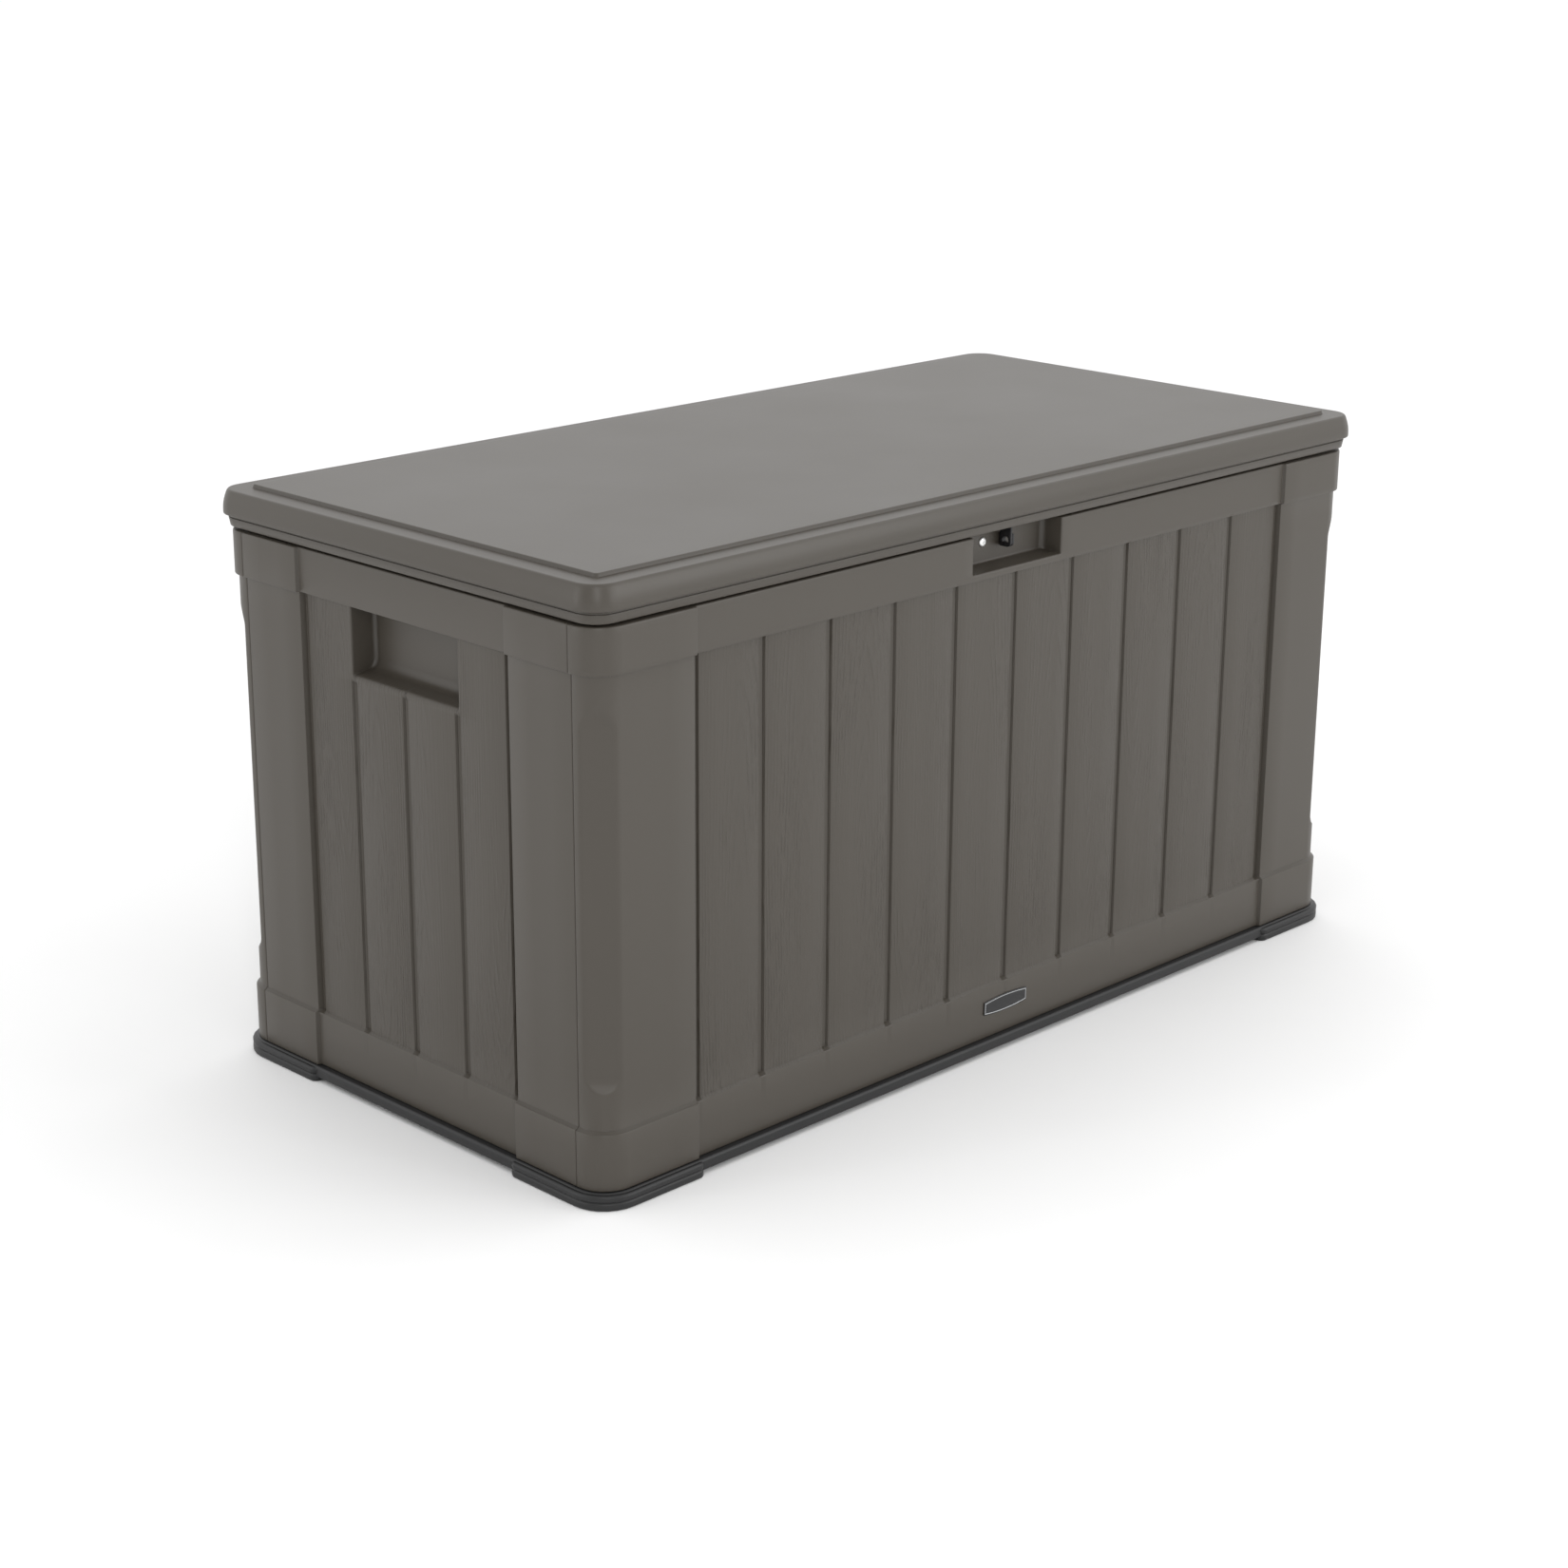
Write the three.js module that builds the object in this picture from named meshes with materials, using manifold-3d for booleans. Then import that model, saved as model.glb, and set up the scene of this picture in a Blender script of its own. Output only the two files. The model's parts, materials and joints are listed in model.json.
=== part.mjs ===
// Deck storage box: four blow-moulded wall panels on a black base, under a hinged lid that two gas
// struts hold open. A lock plate on the front wall and a tab under the lid take a padlock.
// Millimetres. X runs along the front, the front faces -Y, Z is up. The origin is on the ground, under
// the middle of the box.
import * as THREE from 'three';
import { mergeVertices } from 'three/addons/utils/BufferGeometryUtils.js';
import Module from 'manifold-3d';

const wasm = await Module();
wasm.setup();

// ---- Driving dimensions ----

// Walls. Length and depth are measured between the faces of the planks.
const LENGTH = 1253;
const DEPTH = 606;
const WALL_HEIGHT = 603.7;
const FRONT_PLANKS = 10;
const END_PLANKS = 4;
const POST_WIDTH = 129.5;
const POST_PROUD = 3.8;
const BAND_PROUD = 8.3;
const LOWER_BAND = 64.2;
const UPPER_BAND = 50.2;
const CORNER_RADIUS = 29;
const GROOVE_WIDTH = 6.5;
const POST_GROOVE_WIDTH = 8;
const GROOVE_DEPTH = 3.6;
const LONG_WALL = 32.5;
const END_WALL = 38;
const SKIN = 2.5;
const BLOW_HOLE = 1.75;

// Long hollow cut down each corner post, with its ends measured from the two bands.
const SCOOP_DEPTH = 5.8;
const SCOOP_ABOVE_LOWER_BAND = 43.6;
const SCOOP_BELOW_UPPER_BAND = 40;
const SCOOP_RUN_OUT = 20;

// Recesses in the walls.
const HAND_HOLD_DEPTH = 31;
const HAND_HOLD_HEIGHT = 76.5;
const HAND_HOLD_OVERCUT = 2;
const LATCH_WIDTH = 150;
const LATCH_DEPTH = 28;
const LATCH_SILL = 8;

// Lap tabs on the end panels' inner edges.
const TAB_WIDTH = 25;
const TAB_THICK = 8;
const TAB_ABOVE_DECK = 26;
const TAB_BELOW_TOP = 23;
const TAB_SCREW_INSET = 90;

// Base.
const FOOT_HEIGHT = 6;
const FLANGE_TOP = 18.9;
const FOOT_TOP = 17.4;
const FLANGE_PROUD = 12;
const FOOT_PROUD = 16;
const FOOT_LENGTH = 133;
const DECK_TOP = 34;
const DECK_SKIN = 2.5;
const FOOT_ROUND = 3;
const BASE_SCREW_SPREAD = 330;
const BASE_SCREW_SINK = 3.5;
const COUNTERBORE_ROOM = 2;

// Lid.
const LID_GAP = 2.9;
const LID_PROUD = 14;
const LID_LIP_PROUD = 8.3;
const LID_LIP_HEIGHT = 13.5;
const LID_RIM_HEIGHT = 41.2;
const LID_RADIUS = 33.5;
const LID_ROUND = 5;
const LID_PANEL_INSET = 18.4;
const LID_PANEL_RISE = 4;
const LID_FLOOR = 5;
const LID_TOP_SKIN = 3;

// Hinges.
const HINGE_LENGTH = 100;
const HINGE_SPREAD = 420;
const HINGE_SET_BACK = 10.2;
const HINGE_KNUCKLES = 5;
const KNUCKLE_RADIUS = 3.8;
const PIN_RADIUS = 1.9;
const LEAF = 2;
const LID_LEAF_REACH = 36;
const WALL_LEAF_DROP = 40;
const HINGE_SCREW_SPREAD = 30;
const WALL_HINGE_SCREW_DROP = 26;
const LID_HINGE_SCREW_REACH = 25.2;

// Gas struts, in the plane across the box; the two pivots are measured from the hinge pin.
const STRUT_INSET = 14.5;
const STRUT_LID_BACK = 140;
const STRUT_LID_DROP = 16;
const STRUT_WALL_BACK = 203;
const STRUT_WALL_DROP = 294;
const STRUT_EYE_RADIUS = 8;
const STRUT_EYE_WIDTH = 8;
const TUBE_RADIUS = 9;
const TUBE_BORE = 7.5;
const TUBE_LENGTH = 232;
const TUBE_NECK = 6;
const TUBE_END_WALL = 6;
const PISTON_INSET = 20;
const PISTON_LENGTH = 8;
const ROD_RADIUS = 4;
const STUD_RADIUS = 4;
const STUD_LENGTH = 3;
const STUD_HEAD = 2;
const STRUT_PLATE_HALF_WIDTH = 12;
const STRUT_PLATE_HALF_HEIGHT = 30;
const STRUT_SCREW_SPREAD = 20;
const LID_FOOT_WIDTH = 20;
const LID_FOOT_HALF_LENGTH = 14;
const LID_FOOT_SCREW_INSET = 9;

// Padlock fittings.
const LOCK_PLATE = 3;
const LOCK_REACH = 19;
const LOCK_HOLE = 4.5;
const LOCK_HOLE_SET_BACK = 8;
const LOCK_HOLE_RISE = 7.7;
const LOCK_ROUND = 6;
const LOCK_DROP = 27;
const LUG_TOP_DROP = 9;
const LOCK_SCREW_OFFSET = 29.4;
const LOCK_PLATE_MARGIN = 12;
const TAB_FOOT_LENGTH = 26;
const TAB_FOOT_FRONT_INSET = 6;
const TAB_FOOT_BACK_INSET = 3;
const TAB_SCREW_MARGIN = 9;

// Badge and fasteners.
const BADGE_WIDTH = 75;
const BADGE_HEIGHT = 20.5;
const BADGE_ARCH = 2.4;
const BADGE_THICK = 1.4;
const BADGE_RISE = 37.3;
const SCREW_RADIUS = 2;
const HEAD_RADIUS = 4.2;
const HEAD_HEIGHT = 2;
const CORNER_SCREW = 22;
const BASE_SCREW = 20;
const PLATE_SCREW = 16;
const STRUT_SCREW = 12;
const LID_SCREW = 9;

// Gap kept between touching pieces.
const GAP = 0.3;

// ---- Planes that follow from them ----

const halfLength = LENGTH / 2;
const halfDepth = DEPTH / 2;
const wallBottom = FLANGE_TOP + GAP;
const wallTop = wallBottom + WALL_HEIGHT;
const plankBottom = wallBottom + LOWER_BAND;
const plankTop = wallTop - UPPER_BAND;
const plankZoneX = halfLength - POST_WIDTH;
const plankZoneY = halfDepth - POST_WIDTH;
const endPitch = (2 * plankZoneY) / END_PLANKS;
const innerX = halfLength - END_WALL;
const innerY = halfDepth - LONG_WALL;
const lidBottom = wallTop + LID_GAP;
const lidFlange = lidBottom + LID_RIM_HEIGHT;
const lidTop = lidFlange + LID_PANEL_RISE;
const hingeY = halfDepth + HINGE_SET_BACK;
const hingeZ = wallTop + LID_GAP / 2;
const far = 2 * LENGTH;

// ---- Solids ----

function solid(geometry) {
  const bare = geometry.index ? geometry.toNonIndexed() : geometry.clone();
  bare.deleteAttribute('normal');
  bare.deleteAttribute('uv');
  const merged = mergeVertices(bare, 1e-4);
  return new wasm.Manifold(new wasm.Mesh({
    numProp: 3,
    vertProperties: new Float32Array(merged.attributes.position.array),
    triVerts: new Uint32Array(merged.index.array),
  }));
}

function geometryOf(body) {
  const mesh = body.getMesh();
  const geometry = new THREE.BufferGeometry();
  geometry.setAttribute('position', new THREE.BufferAttribute(mesh.vertProperties, 3));
  geometry.setIndex(new THREE.BufferAttribute(mesh.triVerts, 1));
  geometry.computeVertexNormals();
  return geometry;
}

function box(x0, x1, y0, y1, z0, z1) {
  const geometry = new THREE.BoxGeometry(x1 - x0, y1 - y0, z1 - z0);
  return solid(geometry.translate((x0 + x1) / 2, (y0 + y1) / 2, (z0 + z1) / 2));
}

// The same box on the other side of X = 0 or Y = 0 where a sign says so.
function sidedBox(sideX, sideY, x0, x1, y0, y1, z0, z1) {
  const xs = [sideX * x0, sideX * x1].sort((a, b) => a - b);
  const ys = [sideY * y0, sideY * y1].sort((a, b) => a - b);
  return box(xs[0], xs[1], ys[0], ys[1], z0, z1);
}

// A round bar from one point to another.
function bar(from, to, radius, sides = 12) {
  const start = new THREE.Vector3(...from);
  const run = new THREE.Vector3(...to).sub(start);
  const geometry = new THREE.CylinderGeometry(radius, radius, run.length(), sides);
  const turn = new THREE.Quaternion().setFromUnitVectors(new THREE.Vector3(0, 1, 0), run.clone().normalize());
  geometry.applyQuaternion(turn);
  const middle = start.addScaledVector(run, 0.5);
  return solid(geometry.translate(middle.x, middle.y, middle.z));
}

function roundedRect(halfX, halfY, radius) {
  const shape = new THREE.Shape();
  shape.moveTo(halfX - radius, -halfY);
  shape.absarc(halfX - radius, -halfY + radius, radius, -Math.PI / 2, 0);
  shape.absarc(halfX - radius, halfY - radius, radius, 0, Math.PI / 2);
  shape.absarc(-halfX + radius, halfY - radius, radius, Math.PI / 2, Math.PI);
  shape.absarc(-halfX + radius, -halfY + radius, radius, Math.PI, 1.5 * Math.PI);
  shape.closePath();
  return shape;
}

// A rounded block as large as the plank faces plus proud, standing from z0 to z1.
function block(proud, radius, z0, z1, bevel = {}) {
  const { size = 0, rise = 0, steps = 1 } = bevel;
  const shape = roundedRect(halfLength + proud - size, halfDepth + proud - size, radius - size);
  const geometry = new THREE.ExtrudeGeometry(shape, {
    depth: z1 - z0 - 2 * rise,
    curveSegments: 5,
    bevelEnabled: size > 0,
    bevelSize: size,
    bevelThickness: rise,
    bevelSegments: steps,
  });
  return solid(geometry.translate(0, 0, z0 + rise));
}

// A flat plate with an outline in the YZ plane, from x0 to x1.
function sidePlate(shape, x0, x1) {
  const plate = { depth: x1 - x0, bevelEnabled: false, curveSegments: 5 };
  const geometry = new THREE.ExtrudeGeometry(shape, plate);
  geometry.rotateY(Math.PI / 2);
  geometry.rotateX(Math.PI / 2);
  return solid(geometry.translate(x0, 0, 0));
}

function union(pieces) {
  return pieces.reduce((whole, piece) => whole.add(piece));
}

// ---- Materials ----

const taupe = { color: 0x625f58, roughness: 0.55, metalness: 0 };
const black = { color: 0x303032, roughness: 0.6, metalness: 0 };
const zinc = { color: 0xb9bbbd, roughness: 0.35, metalness: 1 };
const blackSteel = { color: 0x1c1c1e, roughness: 0.45, metalness: 0.6 };
const badgeFinish = { color: 0x141415, roughness: 0.35, metalness: 0 };

const assembly = new THREE.Group();

function addPart(name, body, finish) {
  const mesh = new THREE.Mesh(geometryOf(body), new THREE.MeshStandardMaterial(finish));
  mesh.name = name;
  assembly.add(mesh);
}

// ---- Planes of the recesses, fittings and struts ----

const latchFace = halfDepth + POST_PROUD;
const latchBack = latchFace - LATCH_DEPTH;
const latchBottom = plankTop + LATCH_SILL;
const latchHalf = LATCH_WIDTH / 2;
const handHalf = endPitch + HAND_HOLD_OVERCUT;
const handBottom = plankTop - HAND_HOLD_HEIGHT;
const handBack = halfLength - HAND_HOLD_DEPTH;

const tabBack = innerY - GAP - TAB_THICK;
const tabBottom = DECK_TOP + TAB_ABOVE_DECK;
const tabTop = wallTop - TAB_BELOW_TOP;

// Hinge leaves: one on the back panel's face, one in a pocket under the lid.
const leafFace = halfDepth + POST_PROUD + GAP;
const lidLeafBottom = lidBottom + GAP;
const pocketTop = lidLeafBottom + LEAF + GAP;

// Strut pivots and brackets.
const lidPivot = { y: hingeY - STRUT_LID_BACK, z: hingeZ - STRUT_LID_DROP };
const wallPivot = { y: hingeY - STRUT_WALL_BACK, z: hingeZ - STRUT_WALL_DROP };
const eyeX = innerX - STRUT_INSET;
const eyeOuter = eyeX + STRUT_EYE_WIDTH / 2;
const wallPlate = { inner: innerX - GAP - LEAF, outer: innerX - GAP };
const lidLeg = { inner: eyeOuter + GAP + STUD_LENGTH, outer: eyeOuter + GAP + STUD_LENGTH + LEAF };
const lidFootInner = lidLeg.inner - LID_FOOT_WIDTH;

// Lock plate and lid tab, side by side in the latch recess.
const lockLow = lidBottom - LOCK_DROP;
const lockFront = -latchBack - LOCK_REACH;
const lockHole = { y: lockFront + LOCK_HOLE_SET_BACK, z: lockLow + LOCK_HOLE_RISE };
const lug = { x0: GAP / 2, x1: GAP / 2 + LOCK_PLATE, top: wallTop - LUG_TOP_DROP };
const lockBack = { x0: -LOCK_SCREW_OFFSET - LOCK_PLATE_MARGIN, y: -innerY + GAP };
const tabFoot = {
  x0: -TAB_FOOT_LENGTH,
  x1: -GAP / 2,
  y0: -latchFace + TAB_FOOT_FRONT_INSET,
  y1: -latchBack - TAB_FOOT_BACK_INSET,
};

// ---- Screws ----

const UP = new THREE.Vector3(0, 0, 1);
const TO_FRONT = new THREE.Vector3(0, -1, 0);
const TO_BACK = new THREE.Vector3(0, 1, 0);
const sides = [{ side: 'left', sign: -1 }, { side: 'right', sign: 1 }];
const longWalls = [{ wall: 'front', sign: -1 }, { wall: 'back', sign: 1 }];
const hinges = [
  { place: 'left', x: -HINGE_SPREAD },
  { place: 'middle', x: 0 },
  { place: 'right', x: HINGE_SPREAD },
];
const screws = [];

// A pan-head screw: point is under its head, and the shank runs along direction.
function addScrew(name, point, direction, length) {
  const profile = [
    new THREE.Vector2(0, -HEAD_HEIGHT),
    new THREE.Vector2(HEAD_RADIUS * 0.75, -HEAD_HEIGHT),
    new THREE.Vector2(HEAD_RADIUS, 0),
    new THREE.Vector2(SCREW_RADIUS, 0),
    new THREE.Vector2(SCREW_RADIUS, length - SCREW_RADIUS),
    new THREE.Vector2(0, length),
  ];
  const geometry = new THREE.LatheGeometry(profile, 8);
  geometry.applyQuaternion(new THREE.Quaternion().setFromUnitVectors(new THREE.Vector3(0, 1, 0), direction));
  addPart(name, solid(geometry.translate(...point)), zinc);
  const start = new THREE.Vector3(...point).addScaledVector(direction, -1);
  const end = new THREE.Vector3(...point).addScaledVector(direction, length + 2);
  screws.push({ name, hole: bar(start.toArray(), end.toArray(), SCREW_RADIUS + GAP, 8) });
}

// Cut the holes of every screw whose name matches.
function drill(body, names) {
  return screws
    .filter((screw) => names.test(screw.name))
    .reduce((left, screw) => left.subtract(screw.hole), body);
}

// Corner screws join the lap tabs to the long panels; base screws come up through the flange.
const baseScrew = { x: BASE_SCREW_SPREAD, y: halfDepth - LONG_WALL / 2, z: FOOT_HEIGHT + BASE_SCREW_SINK };
for (const { side, sign } of sides) {
  for (const { wall, sign: toWall } of longWalls) {
    const outward = toWall < 0 ? TO_FRONT : TO_BACK;
    const x = sign * (innerX - TAB_WIDTH / 2);
    const y = toWall * (tabBack - GAP);
    const heights = { lower: tabBottom + TAB_SCREW_INSET, upper: tabTop - TAB_SCREW_INSET };
    addScrew(`corner_screw_${wall}_${side}_lower`, [x, y, heights.lower], outward, CORNER_SCREW);
    addScrew(`corner_screw_${wall}_${side}_upper`, [x, y, heights.upper], outward, CORNER_SCREW);
    const under = [sign * baseScrew.x, toWall * baseScrew.y, baseScrew.z];
    addScrew(`base_screw_${wall}_${side}`, under, UP, BASE_SCREW);
  }
}

// Two screws hold each hinge leaf.
for (const { place, x } of hinges) {
  for (const { side, sign } of sides) {
    const screwX = x + sign * HINGE_SCREW_SPREAD;
    const onWall = [screwX, leafFace + LEAF + GAP, wallTop - WALL_HINGE_SCREW_DROP];
    const underLid = [screwX, hingeY - LID_HINGE_SCREW_REACH, lidLeafBottom - GAP];
    addScrew(`hinge_${place}_wall_screw_${side}`, onWall, TO_FRONT, PLATE_SCREW);
    addScrew(`hinge_${place}_lid_screw_${side}`, underLid, UP, LID_SCREW);
  }
}

// Strut brackets: two screws into the end panel and one into the lid.
for (const { side, sign } of sides) {
  const outward = new THREE.Vector3(sign, 0, 0);
  const x = sign * (wallPlate.inner - GAP);
  const lower = [x, wallPivot.y, wallPivot.z - STRUT_SCREW_SPREAD];
  const upper = [x, wallPivot.y, wallPivot.z + STRUT_SCREW_SPREAD];
  const underLid = [sign * (lidLeg.inner - LID_FOOT_SCREW_INSET), lidPivot.y, lidLeafBottom - GAP];
  addScrew(`strut_${side}_wall_screw_lower`, lower, outward, STRUT_SCREW);
  addScrew(`strut_${side}_wall_screw_upper`, upper, outward, STRUT_SCREW);
  addScrew(`strut_${side}_lid_screw`, underLid, UP, LID_SCREW);
}
const tabFootMiddle = (tabFoot.y0 + tabFoot.y1) / 2;
addScrew('lock_plate_screw', [-LOCK_SCREW_OFFSET, -latchBack - GAP, lockHole.z], TO_BACK, PLATE_SCREW);
addScrew('lid_tab_screw', [tabFoot.x0 + TAB_SCREW_MARGIN, tabFootMiddle, lidLeafBottom - GAP], UP, LID_SCREW);

// ---- Walls ----

// The space in front of one wall's planks, with a tooth for each groove: a cut for that wall.
function plankCut(halfWidth, planks, face, turns) {
  const half = GROOVE_WIDTH / 2;
  const pitch = (2 * halfWidth) / planks;
  const bottom = face - GROOVE_DEPTH;
  const shape = new THREE.Shape();
  shape.moveTo(halfWidth, face + 2 * BAND_PROUD);
  shape.lineTo(-halfWidth, face + 2 * BAND_PROUD);
  shape.lineTo(-halfWidth, bottom);
  shape.lineTo(-halfWidth + POST_GROOVE_WIDTH, bottom);
  shape.lineTo(-halfWidth + POST_GROOVE_WIDTH, face);
  for (let i = 1; i < planks; i += 1) {
    const middle = -halfWidth + i * pitch;
    shape.lineTo(middle - half, face);
    shape.lineTo(middle - half, bottom);
    shape.lineTo(middle + half, bottom);
    shape.lineTo(middle + half, face);
  }
  shape.lineTo(halfWidth - POST_GROOVE_WIDTH, face);
  shape.lineTo(halfWidth - POST_GROOVE_WIDTH, bottom);
  shape.lineTo(halfWidth, bottom);
  shape.closePath();
  const geometry = new THREE.ExtrudeGeometry(shape, { depth: plankTop - plankBottom, bevelEnabled: false });
  geometry.rotateZ(turns * Math.PI / 2);
  return solid(geometry.translate(0, 0, plankBottom));
}

// One hollow behind each plank of a wall, between its grooves.
function plankHollows(halfWidth, planks, face, turns, skip) {
  const pitch = (2 * halfWidth) / planks;
  const half = pitch / 2 - POST_GROOVE_WIDTH - SKIN;
  const cells = [];
  for (let i = 0; i < planks; i += 1) {
    const middle = -halfWidth + (i + 0.5) * pitch;
    const height = plankTop - plankBottom - 2 * SKIN - (skip(middle) ? HAND_HOLD_HEIGHT : 0);
    const geometry = new THREE.BoxGeometry(2 * half, GROOVE_DEPTH + SKIN, height);
    geometry.translate(middle, face - SKIN - (GROOVE_DEPTH + SKIN) / 2, plankBottom + SKIN + height / 2);
    geometry.rotateZ(turns * Math.PI / 2);
    cells.push(solid(geometry));
  }
  return union(cells);
}

// A shallow flat down each corner post, run out at both ends.
function scoops() {
  const bottom = plankBottom + SCOOP_ABOVE_LOWER_BAND;
  const top = plankTop - SCOOP_BELOW_UPPER_BAND;
  const outside = 1;
  const overrun = (SCOOP_RUN_OUT / SCOOP_DEPTH) * outside;
  const shape = new THREE.Shape();
  shape.moveTo(SCOOP_DEPTH, bottom + SCOOP_RUN_OUT);
  shape.lineTo(-outside, bottom - overrun);
  shape.lineTo(-CORNER_RADIUS, bottom - overrun);
  shape.lineTo(-CORNER_RADIUS, top + overrun);
  shape.lineTo(-outside, top + overrun);
  shape.lineTo(SCOOP_DEPTH, top - SCOOP_RUN_OUT);
  shape.closePath();
  const inset = (CORNER_RADIUS + POST_PROUD) * (1 - Math.SQRT1_2);
  const cuts = [];
  for (const { sign: sx } of sides) {
    for (const { sign: sy } of longWalls) {
      const geometry = new THREE.ExtrudeGeometry(shape, { depth: 3 * CORNER_RADIUS, bevelEnabled: false });
      geometry.translate(0, 0, -1.5 * CORNER_RADIUS);
      geometry.rotateX(Math.PI / 2);
      geometry.rotateZ(Math.atan2(-sy, -sx));
      const x = sx * (halfLength + POST_PROUD - inset);
      const y = sy * (halfDepth + POST_PROUD - inset);
      cuts.push(solid(geometry.translate(x, y, 0)));
    }
  }
  return union(cuts);
}

// The four walls as one body, before it is divided into panels.
function wallBody() {
  const bandRadius = CORNER_RADIUS + BAND_PROUD;
  const cornerBands = block(BAND_PROUD, bandRadius, wallBottom, plankBottom)
    .add(block(BAND_PROUD, bandRadius, plankTop, wallTop))
    .subtract(box(-plankZoneX, plankZoneX, -far, far, -far, far))
    .subtract(box(-far, far, -plankZoneY, plankZoneY, -far, far));
  let body = block(POST_PROUD, CORNER_RADIUS + POST_PROUD, wallBottom, wallTop).add(cornerBands);
  for (const turns of [0, 2]) {
    body = body.subtract(plankCut(plankZoneX, FRONT_PLANKS, halfDepth, turns));
    body = body.subtract(plankCut(plankZoneY, END_PLANKS, halfLength, turns + 1));
  }
  return body.subtract(scoops());
}

const walls = wallBody();
const hollowX = halfLength - GROOVE_DEPTH - SKIN;
const hollowY = halfDepth - GROOVE_DEPTH - SKIN;
const hollowBottom = wallBottom + SKIN;
const hollowTop = wallTop - SKIN;
const cornerSolid = CORNER_RADIUS / 2;

// Front and back panels run the full length and carry the rounded corners. Both are hollow.
function longPanel(sign) {
  const reach = hollowX - cornerSolid;
  let hollow = sidedBox(1, sign, -reach, reach, innerY + SKIN, hollowY, hollowBottom, hollowTop)
    .add(plankHollows(plankZoneX, FRONT_PLANKS, halfDepth, sign < 0 ? 2 : 0, () => false));
  if (sign < 0) {
    hollow = hollow.subtract(box(-latchHalf - SKIN, latchHalf + SKIN, -far, far, latchBottom - SKIN, far));
  }
  return walls.intersect(sidedBox(1, sign, -far, far, innerY, far, -far, far)).subtract(hollow);
}

function frontPanel() {
  const recess = box(-latchHalf, latchHalf, -far, -latchBack, latchBottom, far);
  const slot = box(lug.x0 - GAP, lug.x1 + GAP, -far, 0, lockLow - GAP, lug.top + GAP);
  const panel = longPanel(-1).subtract(recess).subtract(slot);
  return drill(panel, /screw_front|lock_plate_screw/);
}

// End panels stand between the long panels, with a lap tab down each edge and a hand hold outside.
function endPanel(side, sign) {
  const slot = sidedBox(sign, 1, innerX, far, -innerY + GAP, innerY - GAP, -far, far);
  const reach = innerY - cornerSolid;
  const cup = sidedBox(
    sign, 1, innerX, far, -handHalf - SKIN, handHalf + SKIN, handBottom - SKIN, plankTop + SKIN,
  );
  const behindCup = (middle) => Math.abs(middle) < handHalf;
  const hollow = sidedBox(sign, 1, innerX + SKIN, hollowX, -reach, reach, hollowBottom, hollowTop)
    .add(plankHollows(plankZoneY, END_PLANKS, halfLength, sign < 0 ? 1 : 3, behindCup))
    .subtract(cup);
  const handHold = sidedBox(sign, 1, handBack, far, -handHalf, handHalf, handBottom, plankTop);
  let panel = walls.intersect(slot).subtract(hollow).subtract(handHold);
  for (const { sign: toWall } of longWalls) {
    const edge = [innerX - TAB_WIDTH, innerX + 1, tabBack, innerY - GAP];
    panel = panel.add(sidedBox(sign, toWall, ...edge, tabBottom, tabTop));
  }
  const middle = sign * (innerX + END_WALL / 2);
  panel = panel.subtract(bar([middle, 0, 0], [middle, 0, hollowBottom + 1], BLOW_HOLE, 8));
  return drill(panel, new RegExp(`corner_screw_.*_${side}|strut_${side}_wall_screw`));
}

addPart('front_panel', frontPanel(), taupe);
addPart('back_panel', drill(longPanel(1), /screw_back|hinge_.*_wall_screw/), taupe);
for (const { side, sign } of sides) {
  addPart(`${side}_end_panel`, endPanel(side, sign), taupe);
}

// ---- Base ----

// A black tray: a flange under the walls, four corner feet, and a hollow deck inside the walls.
function baseTray() {
  const footX = halfLength - FOOT_LENGTH;
  const footY = halfDepth - FOOT_LENGTH;
  const footEdge = { size: FOOT_ROUND, rise: FOOT_ROUND };
  const feet = block(FOOT_PROUD, CORNER_RADIUS + FOOT_PROUD, 0, FOOT_TOP, footEdge)
    .subtract(box(-footX, footX, -far, far, -far, far))
    .subtract(box(-far, far, -footY, footY, -far, far));
  const deckX = innerX - 2 * GAP;
  const deckY = innerY - 2 * GAP;
  const hollowInset = 2 * DECK_SKIN;
  const hollow = box(
    -deckX + hollowInset, deckX - hollowInset, -deckY + hollowInset, deckY - hollowInset,
    FOOT_HEIGHT + DECK_SKIN, DECK_TOP - DECK_SKIN,
  );
  let tray = block(FLANGE_PROUD, CORNER_RADIUS + FLANGE_PROUD, FOOT_HEIGHT, FLANGE_TOP)
    .add(feet)
    .add(box(-deckX, deckX, -deckY, deckY, FOOT_HEIGHT, DECK_TOP))
    .subtract(hollow)
    .subtract(bar([0, 0, 0], [0, 0, FOOT_HEIGHT + DECK_SKIN + 1], BLOW_HOLE, 8));
  for (const { sign: sx } of sides) {
    for (const { sign: sy } of longWalls) {
      const x = sx * baseScrew.x;
      const y = sy * baseScrew.y;
      tray = tray.subtract(bar([x, y, 0], [x, y, baseScrew.z + GAP], HEAD_RADIUS + COUNTERBORE_ROOM));
    }
  }
  return drill(tray, /base_screw/);
}

addPart('base_tray', baseTray(), black);

// ---- Lid ----

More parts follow.
